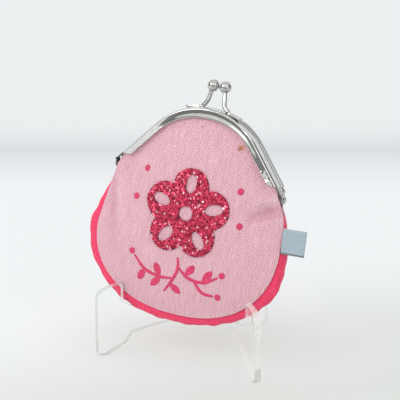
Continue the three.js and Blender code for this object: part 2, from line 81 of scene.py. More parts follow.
# Face of a channel along the arch: distance along, how far its outer edge lies behind its lip, how far it
# curls back towards the lip, and how far in the curl lies
FACE = [
    (-44.0, 0.75, 0.05, 1.5), (-30.0, 0.62, 0.12, 1.5), (-14.0, 0.12, 0.36, 3.0), (0.0, 0.0, 0.42, 3.0),
    (24.0, 0.0, 0.50, 1.8), (34.0, 0.0, 0.22, 1.5), (46.0, 0.0, 0.12, 1.5),
]
# Dents of the crimped lip on the right leg: distance along, length and height
DENTS = [(33.5, 2.2, 0.10), (43.2, 1.3, -0.34), (46.0, 1.0, 0.30), (48.2, 0.9, -0.34), (50.6, 1.0, 0.30)]
# Insets at which the crimp begins and is full
CRIMP = (1.4, 3.6)
EAR = Sizes(radius=2.1, hole=1.1, thick=0.9, reach=4.0, strip_near=1.7, edge=0.18)
RIVET = Sizes(shank=0.8, head=1.6, head_thick=0.7, dome=0.7, chamfer=0.2, tip=0.05, sides=40)
BALL = Sizes(radius=2.9, pole=0.06)
ARM_RADIUS = 1.1
FOOT = Sizes(rise=1.2, sink=0.3, near=1.1, far=4.3, lift=0.8, end=0.45, rounding=6, least=0.05)
HALVES = {
    "front_frame": Sizes(
        side=-1, ear=42.6, slant=1.4, foot=(8.6, 16.2), dents=DENTS,
        arm=[(8.8, -2.6, 35.2), (6.4, -2.0, 37.4), (5.2, -0.8, 41.5), (4.3, 0, 46.2)],
    ),
    "back_frame": Sizes(
        side=1, ear=41.3, slant=0.2, foot=(-6.0, -14.6), dents=[],
        arm=[(-6.3, 2.6, 35.5), (-4.1, 1.9, 38.4), (-2.7, 0.7, 42.5), (-1.8, 0, 46.0)],
    ),
}
# How dark the plate is, from 0 to 1: tarnish, and painted shade in the groove between the two halves and
# in the curl of the left ear; and how deep the painted groove shade reaches between the two halves
TARNISH_AND_SHADE = dict(groove_shade=0.65, left_ear_shade=1.0, right_ear=0.4, arm=0.25, ball=0.3, left_rivet=0.9, right_rivet=0.2)
GROOVE = GAP + 0.7 * CHANNEL.corner

# Pouch
SEAM = Sizes(bottom_z=-64.5, depth=4.5)
# Each side of the seam: its widest line, how square it is below that, and the pulls of its curve above
SIDES = {
    "right": Sizes(half_width=47.5, mid_z=-24.0, power=2.3, top=(46.2, -9.0), pull=(47.5, -16.0)),
    "left": Sizes(half_width=46.1, mid_z=-29.0, power=2.2, top=(44.6, -12.0), pull=(45.2, -21.0)),
}
SEAM_TOP = Sizes(x=43.2, z=-4.0, depth=0.9, hinge_depth=3.4)
TUCK = Sizes(inset=1.6, depth=2.8, length=4.0)
# Each wall is a dome round a point on the purse's middle line
DOME = Sizes(z=-20.0, depth=11.0, power=3.0)
# Rings of a wall, as shares of the way out: the first, where they become finer, and the last
PANEL_RINGS = (0.02, 0.7, 1)
TURNED_EDGE = Sizes(out=0.25, angles=(60, 30, 0, -30, -60))
# Share of the way out over which folds fade at the edge
FOLD_EDGE = 0.12
# Folds of the front panel: from, to, width, height
FOLDS = [
    ((43, 0), (28, -8), 3.0, 1.5),
    ((45, -4.6), (27, -14), 3.3, -3.2),
    ((45, -8.2), (31, -15.2), 2.2, 1.5),
    ((-40, -6), (-25, -46), 3.4, 0.9),
    ((-43.5, -6), (-31, -50), 2.8, -1.8),
]
# Gathers near the edge, along the seam and under the metal: the share of the way out at which they start, and
# their height, how many go round, how far they stray and how often
GATHERS = Sizes(start=0.8, sewn=(0.34, 58, 2.0, 7), held=(0.16, 44, 1.3, 5))
GUSSET = Sizes(
    bulge=4.3, sway=0.30, start=0.16, full_z=-30.0, left_power=0.8, most_wall=0.7, rib=0.95, rib_rise=0.07,
)
# Where the band swells or draws in: distance along it from the right hinge, length and height
SWELLS = [(23.0, 4.0, -0.7), (36.0, 7.0, 1.4), (48.0, 8.0, 0.8), (131.0, 9.0, -0.6)]

# Sequin blossom
BLOSSOM = Sizes(
    x=0.8, z=-15.0, petals=5, petal_out=12.6, petal_radius=9.2, thick=0.55, eye=3.3, lift=0.1, cell=0.42,
)
EYELET = Sizes(out=14.2, along=4.4, across=2.5)
SEQUIN = Sizes(
    pitch=1.02, radius=0.52, thick=0.1, sides=8, tilt=math.radians(11), spread=0.75, margin=0.35, lift=0.12,
    stray=0.06,
)
# Edge of a sequin: shares of its radius, and of its thickness above its middle
SEQUIN_EDGE = [(0.92, -0.5), (1.0, 0.0), (0.9, 0.5)]

# Stitched sprig under the blossom: stems as points to pass through, leaves as base, tip and width, buds as
# points
STITCH = Sizes(pitch=0.3, width=0.42, rise=0.34, slant=math.radians(62), lift=0.02, least=0.02)
STEM = Sizes(width=1.7, start=0.4, end=0.3, tip=0.55, stray=0.05)
LEAF = Sizes(start=0.25, end=0.2, low=0.85, full=0.8, sweep=0.45, overlap=0.12)
BUD = Sizes(radius=1.5, start=0.18, least=0.02)
STEMS = [
    [(0.6, -36.2), (1.4, -42), (-1.2, -49), (-4.6, -54.5)],
    [(1.2, -40.5), (7, -45), (15, -45.5), (22, -41.5)],
    [(-0.6, -47.0), (-8, -47.6), (-16, -45.5), (-22, -40)],
    [(10, -45.8), (15, -50.5), (21, -51)],
]
LEAVES = [
    ((5.6, -44.0), (9.6, -38.6), 3.6),
    ((14.6, -45.4), (18.6, -39.2), 3.6),
    ((-7.2, -47.4), (-10.6, -41.4), 3.6),
    ((-15.4, -45.6), (-18.4, -51.6), 3.6),
    ((-1.6, -49.8), (4.2, -53.4), 3.4),
    ((-6.8, -47.8), (-11.6, -53.0), 3.4),
]
BUDS = [
    (23.6, -40.2), (-23.4, -38.6), (22.8, -51.0), (-26.6, -12.5), (27.6, -15.5), (-24.2, 1.6), (24.4, 0.4),
]

TAG = Sizes(
    x=47.9, z=-18.2, length=11.4, height=12.0, cloth=0.4, thick=1.3, turn=math.radians(-4), sag=0.16,
    wave=0.12,
)

# Camera of the photograph, round a point in the part's frame, with its angles in degrees
CAMERA = Sizes(azimuth=22.5, elevation=19, distance=750.0, lens=144.2, sensor=36.0)
TARGET = (5.12, -19.09, 81.11)


# Placing

def centre_of(node):
    low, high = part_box(node)
    return (low + high) / 2


HINGE = (centre_of("hinge_rivet_left") + centre_of("hinge_rivet_right")) / 2
PURSE = Matrix.Translation(HINGE) @ Matrix.Rotation(-LEAN, 4, "X") @ Matrix.Rotation(ROLL, 4, "Y")


def placed(points):
    """Points of the purse's frame, in millimetres, as metres in the part's frame."""
    return points @ np.array(PURSE.to_3x3()).T * MM + np.array(HINGE)


# Numbers

def smoothstep(value, low, high):
    t = np.clip((value - low) / (high - low), 0, 1)
    return t * t * (3 - 2 * t)


def columns(*values):
    """Rows with the given columns, in which a single number fills its whole column."""
    return np.stack(np.broadcast_arrays(*values), -1)


def unit(vectors):
    return vectors / np.linalg.norm(vectors, axis=-1, keepdims=True)


def rotated(x, z, angle):
    return x * math.cos(angle) - z * math.sin(angle), x * math.sin(angle) + z * math.cos(angle)


def circle(sides):
    """Cosines and sines of evenly spaced angles."""
    angles = np.linspace(0, 2 * np.pi, sides, endpoint=False)
    return np.cos(angles), np.sin(angles)


def arc(centre, radius, start, end, steps):
    """Points of an arc, with angles in degrees from the first axis to the second."""
    angles = np.radians(np.linspace(start, end, steps + 1))
    return columns(centre[0] + radius * np.cos(angles), centre[1] + radius * np.sin(angles))


def distances(line):
    """How far each point of a line is from its start, along it."""
    return np.concatenate([[0], np.cumsum(np.hypot(*np.diff(line, axis=0).T))])


def bumps(at, rows):
    """Sum of soft bumps at a place on a line, from rows of place, length and height."""
    return sum(height * math.exp(-((at - place) / length) ** 2) for place, length, height in rows)


def curve_through(points, steps):
    """A smooth line through a few points."""
    points = np.asarray(points, float)
    padded = np.concatenate([[2 * points[0] - points[1]], points, [2 * points[-1] - points[-2]]])
    line = []
    for a, b, c, d in zip(padded, padded[1:], padded[2:], padded[3:]):
        for t in np.linspace(0, 1, steps, endpoint=False):
            line.append(0.5 * (
                2 * b + (c - a) * t + (2 * a - 5 * b + 4 * c - d) * t ** 2 + (3 * b - a - 3 * c + d) * t ** 3
            ))
    return np.array(line + [points[-1]])


def wall_section(line, out, back):
    """Closed outline of a wall: along one side of a line, and back along its other side."""
    ahead = unit(np.gradient(line, axis=0))
    normal = columns(ahead[:, 1], -ahead[:, 0])
    return np.concatenate([line + out * normal, (line - back * normal)[::-1]])


# Meshes

def ring_faces(rings, ring, joined=False):
    """Quads between rings of points. joined runs the last ring on into the first."""
    i, k = np.meshgrid(np.arange(rings if joined else rings - 1), np.arange(ring), indexing="ij")
    a, b = i * ring + k, i * ring + (k + 1) % ring
    quads = np.stack([a, b, b + ring, a + ring], -1) % (rings * ring)
    return quads.reshape(-1, 4).tolist()


def tube(rings, values=(0.0, 0.0, 0.0)):
    """Points, faces and values of a row of rings, closed by a flat face at each end."""
    count, ring = len(rings), len(rings[0])
    ends = [list(reversed(range(ring))), list(range((count - 1) * ring, count * ring))]
    return rings, ring_faces(count, ring) + ends, values


def new_object(name, data):
    made = bpy.data.objects.new(name, data)
    bpy.context.scene.collection.objects.link(made)
    return made


def new_mesh(name, points, faces, material):
    mesh = bpy.data.meshes.new(name)
    mesh.from_pydata(points, [], faces)
    mesh.materials.append(material)
    return new_object(name, mesh)


def face_out(mesh):
    made = bmesh.new()
    made.from_mesh(mesh)
    bmesh.ops.recalc_face_normals(made, faces=made.faces)
    made.to_mesh(mesh)
    made.free()


def make_piece(name, shapes, material, node=None, crease=None):
    """One object of the purse from closed shapes, riding on the part's body. Each shape has points, faces and
    three values for each point or for all of them, which the materials read as the attribute "cloth". Edges
    sharper than crease, in degrees, stay crisp."""
    points, faces, values, count = [], [], [], 0
    for shape, shape_faces, shape_values in shapes:
        points.append(np.reshape(shape, (-1, 3)))
        faces += [[k + count for k in face] for face in shape_faces]
        values.append(np.broadcast_to(np.reshape(shape_values, (-1, 3)), points[-1].shape))
        count += len(points[-1])
    piece = new_mesh(name, placed(np.concatenate(points)).tolist(), faces, material)
    mesh = piece.data
    cloth = mesh.attributes.new("cloth", "FLOAT_VECTOR", "POINT")
    cloth.data.foreach_set("vector", np.concatenate(values).astype(np.float32).ravel())
    mesh.validate()
    face_out(mesh)
    mesh.shade_smooth()
    if crease:
        mesh.set_sharp_from_angle(angle=math.radians(crease))
    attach(piece, "root")
    if node:
        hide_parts(node)
    return piece


# Metal frame

def arch_at(along, inset):
    """x and z of the line that runs a distance inside the arch's outer edge."""
    angle = np.clip(along / ARCH.radius, -ARCH.half_sweep, ARCH.half_sweep)
    leg = along - ARCH.radius * angle
    nx, nz = np.sin(angle), np.cos(angle)
    reach = ARCH.radius - inset
    return reach * nx + leg * nz, ARCH.centre_z + reach * nz - leg * nx


ARC_LENGTH = ARCH.radius * ARCH.half_sweep
LEG_X, LEG_Z = arch_at(ARC_LENGTH, 0)


def reach_at(height, inset):
    """How far along the arch a line inside its outer edge comes down to a height."""
    drop = LEG_Z - inset * math.cos(ARCH.half_sweep) - height
    return ARC_LENGTH + drop / math.sin(ARCH.half_sweep)


ARCH_HALF = reach_at(ARCH.end_z, 0)


def sweep_arch(section, stops):
    """Rings of a section of (inset, y), carried along the arch."""
    inset, y = np.transpose(section)
    rings = []
    for along in stops:
        x, z = arch_at(along, inset)
        rings.append(columns(x, y, z))
    return rings


def channel_outer(slant, face, drop, curl, late):
    """Outer side of the front channel's section, as (inset, y), from the rear wall round to the lip. slant
    is how far in the face's outer edge lies, drop how far it lies behind the lip, curl how far the face
    bends back towards the lip, and late how far in the bend lies."""
    c = CHANNEL
    front, back, corner = -GAP - c.depth, -GAP, c.corner
    angles = np.linspace(np.pi / 2, 0, STEPS.spine)
    spine_y = front + drop + (c.depth - drop - corner) * (1 - np.cos(angles))
    spine = columns(slant * (1 - np.sin(angles)), spine_y)
    share = np.linspace(0, 1, STEPS.face)[1:]
    face_in = slant + share * (face - c.lip - slant)
    bend = np.cumsum(np.sin(np.pi * share ** late))
    face_y = front + drop * (1 - share) + curl * bend / bend[-1]
    end = front + curl + c.lip
    return np.concatenate([
        [(c.rear, back)],
        arc((corner, back - corner), corner, 90, 170, STEPS.corner),
        spine[1:],
        columns(face_in, face_y),
        arc((face - c.lip, end), c.lip, 280, 350, STEPS.corner),
    ])


def channel_rings(dents, slant):
    """The channel along the whole arch, its ends cut level and its lip crimped where it has dents."""
    rings = []
    at, *shapes = np.array(FACE).T
    for along in np.linspace(-ARCH_HALF, ARCH_HALF, STEPS.channel):
        down = smoothstep(abs(along), 0, ARC_LENGTH)
        face = CHANNEL.face + down * (CHANNEL.leg_face - CHANNEL.face)
        outer = channel_outer(slant, face, *(np.interp(along, at, shape) for shape in shapes))
        inset, y = wall_section(outer, 0, CHANNEL.wall).T
        reach = reach_at(ARCH.end_z, inset)
        x, z = arch_at(np.clip(along, -reach, reach), inset)
        rings.append(columns(x, y + smoothstep(inset, *CRIMP) * bumps(along, dents), z))
    return rings


def ear_outline(top):
    """Edge of an ear round its rivet, as (y, z), from its inner top corner on round."""
    radius, step = EAR.radius, STEPS.ear_side
    bottom = arc((0, 0), radius, 180, 360 + math.degrees(math.acos(-GAP / radius)), STEPS.ear)
    corners = [(-GAP, top), (-EAR.reach, top), tuple(bottom[0])]
    sides = [np.linspace(a, b, step)[:-1] for a, b in zip(corners, corners[1:])]
    return np.concatenate([*sides, bottom, np.linspace(bottom[-1], corners[0], step // 2 + 1)[1:-1]])


def ear_rings(inner_x):
    """The ear of the front half round its rivet hole, as rings that turn inside out through its thickness."""
    e = EAR
    top = LEG_Z - (inner_x + e.thick - LEG_X) * math.tan(ARCH.half_sweep)
    outer = ear_outline(top)
    away = np.linalg.norm(outer, axis=1)[:, None]
    hole, shy = outer / away * e.hole, outer * (1 - e.edge / away)
    steps = [
        (hole, 0.0), (shy, 0.0), (outer, e.edge),
        (outer, e.thick - e.edge), (shy, e.thick), (hole, e.thick),
    ]
    return [columns(inner_x + x, *line.T) for line, x in steps]


def strip_rings(inner_x):
    """Strip of the spine that runs on from the channel's end to the ear."""
    end = ARC_LENGTH + (inner_x + EAR.thick - LEG_X) / math.cos(ARCH.half_sweep)
    front, back, wall = -GAP - CHANNEL.depth + CHANNEL.wall, -EAR.strip_near, CHANNEL.wall
    section = [(wall, front), (0, back), (wall, back), (2 * wall, front)]
    return sweep_arch(section, np.linspace(ARCH_HALF - wall, end, STEPS.strip))


def tube_rings(line, radius, sides):
    """Rings of a round tube along a line."""
    ahead = unit(np.gradient(line, axis=0))
    side = unit(np.cross(ahead, (0.0, 1.0, 0.0)))
    over = np.cross(side, ahead)
    cosine, sine = circle(sides)
    return [
        point + radius * (np.outer(cosine, s) + np.outer(sine, o)) for point, s, o in zip(line, side, over)
    ]


def ball_rings(centre):
    cosine, sine = circle(STEPS.ball_round)
    rows = np.linspace(BALL.pole, np.pi - BALL.pole, STEPS.ball)
    return [
        np.array(centre) + BALL.radius * columns(np.sin(row) * cosine, np.sin(row) * sine, np.cos(row))
        for row in rows
    ]


def foot_rings(foot, side):
    """The clasp's foot: a tongue soldered on the arch, lifting a little towards its free end."""
    f = FOOT
    rings = []
    for along in np.linspace(foot[0], foot[1], STEPS.foot):
        share = (along - foot[0]) / (foot[1] - foot[0])
        ease = min(1.0, f.rounding * share * (1 - share) + f.end)
        middle, half = (f.near + f.far) / 2, (f.far - f.near) / 2 * ease
        top, low = -f.rise - f.lift * share ** 2, f.sink - f.lift * share ** 2
        radius = (low - top) / 2
        near = arc(((top + low) / 2, middle - half + radius), radius, 0, -180, STEPS.foot_edge)
        near[:, 1] = near[:, 1].clip(middle - half, middle - f.least)
        far = arc(((top + low) / 2, middle + half - radius), radius, 180, 0, STEPS.foot_edge)
        far[:, 1] = far[:, 1].clip(middle + f.least, middle + half)
        rings += sweep_arch(np.concatenate([near, far]) * (1, side), [along])
    return rings


def mirror(rings, x, y):
    return np.array(rings) * (x, y, 1.0)


def frame_half(name, material):
    """Half of the metal frame: channel, ears and clasp."""
    half = HALVES[name]
    flip = -half.side
    channel = mirror(channel_rings(half.dents, half.slant), 1, flip)
    # Painted shade on the channel next to the middle plane, in the gap between the two halves
    groove_shade = np.abs(channel[:, :, 1]) < GROOVE
    shapes = [tube(channel, columns(TARNISH_AND_SHADE["groove_shade"] * groove_shade, 0.0, 0.0))]
    for x, end in ((-1, "left_ear_shade"), (1, "right_ear")):
        ear = mirror(ear_rings(half.ear), x, flip)
        shapes.append((ear, ring_faces(*ear.shape[:2], joined=True), (TARNISH_AND_SHADE[end], 0.0, 0.0)))
        shapes.append(tube(mirror(strip_rings(half.ear), x, flip), (TARNISH_AND_SHADE[end], 0.0, 0.0)))
    shapes.append(tube(foot_rings(half.foot, half.side)))
    arm = curve_through(half.arm, STEPS.arm)
    shapes.append(tube(tube_rings(arm, ARM_RADIUS, STEPS.arm_round), (TARNISH_AND_SHADE["arm"], 0.0, 0.0)))
    shapes.append(tube(ball_rings(half.arm[-1]), (TARNISH_AND_SHADE["ball"], 0.0, 0.0)))
    make_piece(name + "_plated", shapes, material, name, crease=42)


def rivet(name, side, material):
    """Rivet through the two ears, with its dome outside."""
    r = RIVET
    inner = HALVES["back_frame"].ear - GAP
    outer = HALVES["front_frame"].ear + EAR.thick + GAP
    end = inner - r.head_thick
    profile = [
        (r.tip, end), (r.head - r.chamfer, end), (r.head, end + r.chamfer), (r.head, inner),
        (r.shank, inner), (r.shank, outer), (r.head, outer),
    ]
    for angle in np.linspace(0, np.pi / 2, STEPS.dome)[1:]:
        profile.append((max(r.head * math.cos(angle), r.tip), outer + r.dome * math.sin(angle)))
    cosine, sine = circle(r.sides)
    rings = [columns(side * x, radius * cosine, radius * sine) for radius, x in profile]
    tarnish_and_shade = TARNISH_AND_SHADE["left_rivet" if side < 0 else "right_rivet"]
    make_piece(name + "_domed", [tube(rings, (tarnish_and_shade, 0.0, 0.0))], material, name, crease=50)


# Pouch

def taper_at(t, side):
    """The seam between a hinge and the widest line: x to that side, z and depth for t from 0 to 1."""
    s, row = 1 - t, SIDES[side]
    corners = [(SEAM_TOP.x, SEAM_TOP.z), row.top, row.pull, (row.half_width, row.mid_z)]
    weights = [s ** 3, 3 * s * s * t, 3 * s * t * t, t ** 3]
    x, z = (sum(w * corner[k] for w, corner in zip(weights, corners)) for k in (0, 1))
    return x, z, SEAM_TOP.depth + t * (SEAM.depth - SEAM_TOP.depth)


def lower_seam_at(t, side):
    """The seam from the widest line to the middle of the bottom: x, z and depth for t from 0 to 1."""
    angle, row = t * np.pi / 2, SIDES[side]
    x = row.half_width * np.clip(np.cos(angle), 0, 1) ** (2 / row.power)
    z = row.mid_z + (SEAM.bottom_z - row.mid_z) * np.sin(angle) ** (2 / row.power)
    return x, z, SEAM.depth


def half_outline(side):
    """Rows of x, z, depth and tuck down one side of the pouch, from the top of the arch to the bottom."""
    top = np.linspace(0, ARC_LENGTH, STEPS.arch_edge)
    leg = np.linspace(ARC_LENGTH, ARCH_HALF, STEPS.leg_edge)[1:]
    arch = columns(*arch_at(np.concatenate([top, leg]), TUCK.inset), TUCK.depth, TUCK.length)
    middle = (arch[-1, :2] + (SEAM_TOP.x, SEAM_TOP.z)) / 2
    bridge = [(*middle, SEAM_TOP.hinge_depth, 0.0)]
    upper = columns(*taper_at(np.linspace(0, 1, STEPS.taper), side), 0.0)
    lower = columns(*lower_seam_at(np.linspace(0, 1, STEPS.seam)[1:], side), 0.0)
    return np.concatenate([arch, bridge, upper, lower])


def bearing(x, z):
    """Angle of a point round the dome's middle, from straight up towards the right."""
    return np.arctan2(x, z - DOME.z)


# Rows round the whole pouch, from the top of the arch to the right and round
OUTLINE = np.concatenate([half_outline("right"), half_outline("left")[1:-1][::-1] * (-1, 1, 1, 1)])
OUTLINE_AT = np.unwrap(bearing(OUTLINE[:, 0], OUTLINE[:, 1]))


def rim_towards(x, z):
    """The outline's row in the direction of a point from the dome's middle."""
    angle = bearing(x, z) % (2 * np.pi)
    at = np.append(OUTLINE_AT, OUTLINE_AT[0] + 2 * np.pi)
    rows = np.concatenate([OUTLINE, OUTLINE[:1]])
    return [np.interp(angle, at, column) for column in rows.T]


def fold_height(x, z):
    """How far the folds raise the front panel at a point, each fading out towards its far end."""
    total = 0.0
    for start, end, width, height in FOLDS:
        dx, dz = end[0] - start[0], end[1] - start[1]
        t = np.clip(((x - start[0]) * dx + (z - start[1]) * dz) / (dx * dx + dz * dz), 0, 1)
        away = np.hypot(x - start[0] - t * dx, z - start[1] - t * dz)
        total = total + height * np.cos(t * np.pi / 2) * np.exp(-(away / width) ** 2)
    return total


def rumple(x, z):
    """Low soft unevenness of sewn cloth."""
    return (
        0.10 * np.sin(0.31 * x + 0.12 * z + 1.3) * np.sin(0.22 * z - 0.09 * x)
        + 0.07 * np.sin(0.52 * z + 0.17 * x + 0.4) * np.cos(0.43 * x + 2.0)
    )


def pucker(x, z, free, tuck):
    """Small gathers along the seam and under the metal frame."""
    around = bearing(x, z)
    near = np.clip((free - GATHERS.start) / (1 - GATHERS.start), 0, 1)
    sewn, held = (
        height * np.sin(count * around + stray * np.sin(often * around))
        for height, count, stray, often in (GATHERS.sewn, GATHERS.held)
    )
    return 4 * near ** 2 * (1 - near) * np.where(tuck < 1, sewn, held)


def panel_depth(x, z, folded):
    """Depth of a panel's middle surface under a point of the front view."""
    rim_x, rim_z, edge, tuck = rim_towards(x, z)
    reach = np.hypot(rim_x, rim_z - DOME.z)
    share = np.hypot(x, z - DOME.z) / reach
    free = np.minimum(1, share / (1 - tuck / reach))
    depth = edge + (DOME.depth - edge) * (1 - free ** DOME.power)
    fade = np.minimum(1, (1 - free) / FOLD_EDGE)
    unlevel = rumple(x, z) + pucker(x, z, free, tuck)
    return depth + fade * (unlevel + (fold_height(x, z) if folded else 0))


def panel(name, side, material, node):
    """A domed cloth wall in rings round the dome's middle, with its edge turned under."""
    edge_x, edge_z, edge_depth, _ = OUTLINE.T
    start, finer, end = PANEL_RINGS
    shares = np.concatenate([
        np.linspace(start, finer, STEPS.panel), np.linspace(finer, end, STEPS.panel_edge)[1:],
    ])
    x, z = np.outer(shares, edge_x), DOME.z + np.outer(shares, edge_z - DOME.z)
    depth = panel_depth(x, z, side < 0)
    outer, inner = (columns(x, side * (depth + half), z) for half in (CLOTH / 2, -CLOTH / 2))
    step = np.roll(OUTLINE[:, :2], -1, axis=0) - np.roll(OUTLINE[:, :2], 1, axis=0)
    outward = unit(columns(-step[:, 1], step[:, 0]))
    turned = []
    for angle in np.radians(TURNED_EDGE.angles):
        out = TURNED_EDGE.out * math.cos(angle) * outward
        y = side * (edge_depth + CLOTH / 2 * math.sin(angle))
        turned.append(columns(edge_x + out[:, 0], y, edge_z + out[:, 1]))
    points = np.concatenate([outer, turned, inner[::-1]])
    x, z = points[:, :, 0], points[:, :, 2]
    # The third value is the front panel's fold height, which its material turns into painted shade and
    # highlight
    values = columns(x, z, fold_height(x, z) * (side < 0))
    return make_piece(name, [tube(points, values)], material, node)


def band_stations(count):
    """Evenly spaced stations along the seam, from under the right hinge round to the left one."""
    right, left = (
        np.concatenate([
            columns(*taper_at(np.linspace(GUSSET.start, 1, STEPS.band_taper), side)),
            columns(*lower_seam_at(np.linspace(0, 1, STEPS.band_seam)[1:], side)),
        ])
        for side in ("right", "left")
    )
    line = np.concatenate([right, left[:-1][::-1] * (-1, 1, 1)])
    along = distances(line[:, :2])
    at = np.linspace(0, along[-1], count)
    return at, columns(*(np.interp(at, along, column) for column in line.T))


def ripple(s):
    """Slight waviness of the band along its length."""
    return 0.22 * math.sin(s * 0.55 + 1.6 * math.sin(s * 0.11)) + 0.12 * math.sin(s * 0.93 + 0.6)


def gusset(material):
    """Side band: a half-round cloth wall along the seam, ribbed across and a little rippled."""
    g = GUSSET
    along, rows = band_stations(STEPS.band)
    step = unit(np.gradient(rows[:, :2], axis=0))
    top_z = {side: taper_at(g.start, side)[1] for side in SIDES}
    angles = np.linspace(-np.pi / 2, np.pi / 2, STEPS.band_across)
    rings, values = [], []
    for s, (x, z, edge), (dx, dz) in zip(along, rows, step):
        side = "left" if x < 0 else "right"
        t = min(max((top_z[side] - z) / (top_z[side] - g.full_z), 0), 1)
        full = t ** g.left_power if side == "left" else smoothstep(t, 0, 1)
        swing = g.bulge * (1 - g.sway * x / SIDES[side].half_width)
        out = GAP + full * (swing + ripple(s) + bumps(s, SWELLS))
        deep = edge - CLOTH / 2 - SEWN
        rib = g.rib_rise * math.cos(2 * math.pi * s / g.rib) * full
        walls = []
        for inward, lift in ((0.0, rib), (min(CLOTH, g.most_wall * deep), 0.0)):
            reach = (out - inward + lift) * np.cos(angles)
            walls.append(columns(x - dz * reach, (deep - inward) * np.sin(angles), z + dx * reach))
        rings.append(np.concatenate([walls[0], walls[1][::-1]]))
        values.append(columns(s, np.concatenate([angles, angles[::-1]]) * deep, 0.0))
    return make_piece("side_band", [tube(rings, values)], material, "gusset")


# Blossom and sprig

BLOSSOM_REACH = BLOSSOM.petal_out + BLOSSOM.petal_radius


def petal_reach(angle):
    """Distance from the blossom's centre to its edge, at an angle from straight up."""
    step = 2 * np.pi / BLOSSOM.petals
    off = angle - step * np.round(angle / step)
    half_chord = np.sqrt(BLOSSOM.petal_radius ** 2 - (BLOSSOM.petal_out * np.sin(off)) ** 2)
    return BLOSSOM.petal_out * np.cos(off) + half_chord


def inside_blossom(x, z, margin):
    """True where a point lies on the blossom's cloth, clear of its edge and holes by a margin."""
    dx, dz = x - BLOSSOM.x, z - BLOSSOM.z
    away, angle = np.hypot(dx, dz), np.arctan2(-dx, dz)
    kept = (away < petal_reach(angle) - margin) & (away > BLOSSOM.eye + margin)
    for k in range(BLOSSOM.petals):
        side, out = rotated(dx, dz, -2 * math.pi * k / BLOSSOM.petals)
        out = (out - EYELET.out) / (EYELET.along + margin)
        kept &= np.hypot(out, side / (EYELET.across + margin)) > 1
    return kept


def front_at(x, z, lift):
    """Points on the front panel, raised from its outer face, with the way that the face points there."""
    small = 0.2
    slope_x, slope_z = (
        (panel_depth(x + dx, z + dz, True) - panel_depth(x - dx, z - dz, True)) / (2 * small)
        for dx, dz in ((small, 0), (0, small))
    )
    y = -(panel_depth(x, z, True) + CLOTH / 2 + lift)
    return columns(x, y, z), unit(columns(-slope_x, -1.0, -slope_z))


def blossom_cloth(material):
    """The cut cloth under the sequins, in small square cells that lie clear of its edge and holes."""
    b = BLOSSOM
    count = int(2 * BLOSSOM_REACH / b.cell)
    line = np.linspace(-BLOSSOM_REACH, BLOSSOM_REACH, count)
    x, z = (grid.ravel() for grid in np.meshgrid(b.x + line, b.z + line))
    keep = inside_blossom(x, z, 0.0).reshape(count, count)
    cell = np.pad(keep[:-1, :-1] & keep[1:, :-1] & keep[:-1, 1:] & keep[1:, 1:], 1)
    layer = count * count
    faces = []
    for j, i in zip(*np.nonzero(cell)):
        a = (j - 1) * count + i - 1
        quad = [a, a + 1, a + 1 + count, a + count]
        faces.append([k + layer for k in quad])
        faces.append(quad[::-1])
        for (dj, di), (p, q) in {(-1, 0): (0, 1), (0, 1): (1, 2), (1, 0): (2, 3), (0, -1): (3, 0)}.items():
            if not cell[j + dj, i + di]:
                faces.append([quad[p], quad[q], quad[q] + layer, quad[p] + layer])
    used, index = np.unique(np.concatenate(faces), return_inverse=True)
    low, high = (front_at(x, z, lift)[0] for lift in (b.lift, b.lift + b.thick))
    points = np.concatenate([low, high])[used]
    shape = points, index.reshape(-1, 4).tolist(), columns(points[:, 0], points[:, 2], 0.0)
    return make_piece("applique_cloth", [shape], material, "applique")


def sequins(material, random):
    """A field of small round sequins on the blossom, each tilted a little its own way."""
    q = SEQUIN
    rise = q.pitch * math.sqrt(3) / 2
    left, bottom = BLOSSOM.x - BLOSSOM_REACH, BLOSSOM.z - BLOSSOM_REACH
    spots = np.array([
        (left + (i + 0.5 * (j % 2)) * q.pitch, bottom + j * rise)
        for j in range(int(2 * BLOSSOM_REACH / rise)) for i in range(int(2 * BLOSSOM_REACH / q.pitch))
    ])
    spots = spots[inside_blossom(spots[:, 0], spots[:, 1], q.margin)]
    spots += random.normal(0, q.stray, spots.shape)
    centres, normals = front_at(spots[:, 0], spots[:, 1], BLOSSOM.lift + BLOSSOM.thick + q.lift)
    cosine, sine = circle(q.sides)
    shapes = []
    for centre, normal in zip(centres, normals):
        tilt = unit(normal + math.tan(q.tilt) * random.normal(0, q.spread, 3))
        side = unit(np.cross(tilt, (0.0, 0.0, 1.0)))
        tone = (random.random(), random.random(), 0.0)
        rim = np.outer(cosine, side) + np.outer(sine, np.cross(side, tilt))
        rings = [centre + q.radius * out * rim + tilt * up * q.thick for out, up in SEQUIN_EDGE]
        shapes.append(tube(rings, tone))
    return make_piece("sequins", shapes, material, crease=20)


def strand(start, end, tone):
    """One satin stitch: a flat rounded thread from start to end over the front panel."""
    s = STITCH
    start, end = np.array(start), np.array(end)
    share = np.linspace(0, 1, STEPS.stitch)
    across_z, across_x = unit(end - start) * (1, -1)
    rise = s.rise * np.sqrt(np.clip(1 - (2 * share - 1) ** 4, s.least, 1))
    angles = np.linspace(0, np.pi, STEPS.stitch_round)
    offsets = s.width / 2 * np.cos(angles)
    rings = []
    for (x, z), lift in zip(start + share[:, None] * (end - start), rise):
        base, normal = front_at(x + offsets * across_x, z + offsets * across_z, s.lift)
        rings.append(base + normal * (lift * np.sin(angles))[:, None])
    return tube(rings, (tone, 0.0, 0.0))


def stitched_stem(points, random):
    """Satin stitches laid slantwise across a curved line."""
    line = curve_through(points, STEPS.stem)
    along = distances(line)
    for at in np.arange(STEM.start, along[-1] - STEM.end, STITCH.pitch):
        point, beyond = (
            np.array([np.interp(stop, along, column) for column in line.T])
            for stop in (at, at + STITCH.pitch)
        )
        lay = np.array(rotated(*unit(beyond - point), STITCH.slant))
        share = at / along[-1]
        half = STEM.width / 2 * (STEM.tip + (1 - STEM.tip) * min(1, 4 * share, 4 * (1 - share)))
        half *= 1 + STEM.stray * random.normal()
        yield strand(point - half * lay, point + half * lay, random.random())


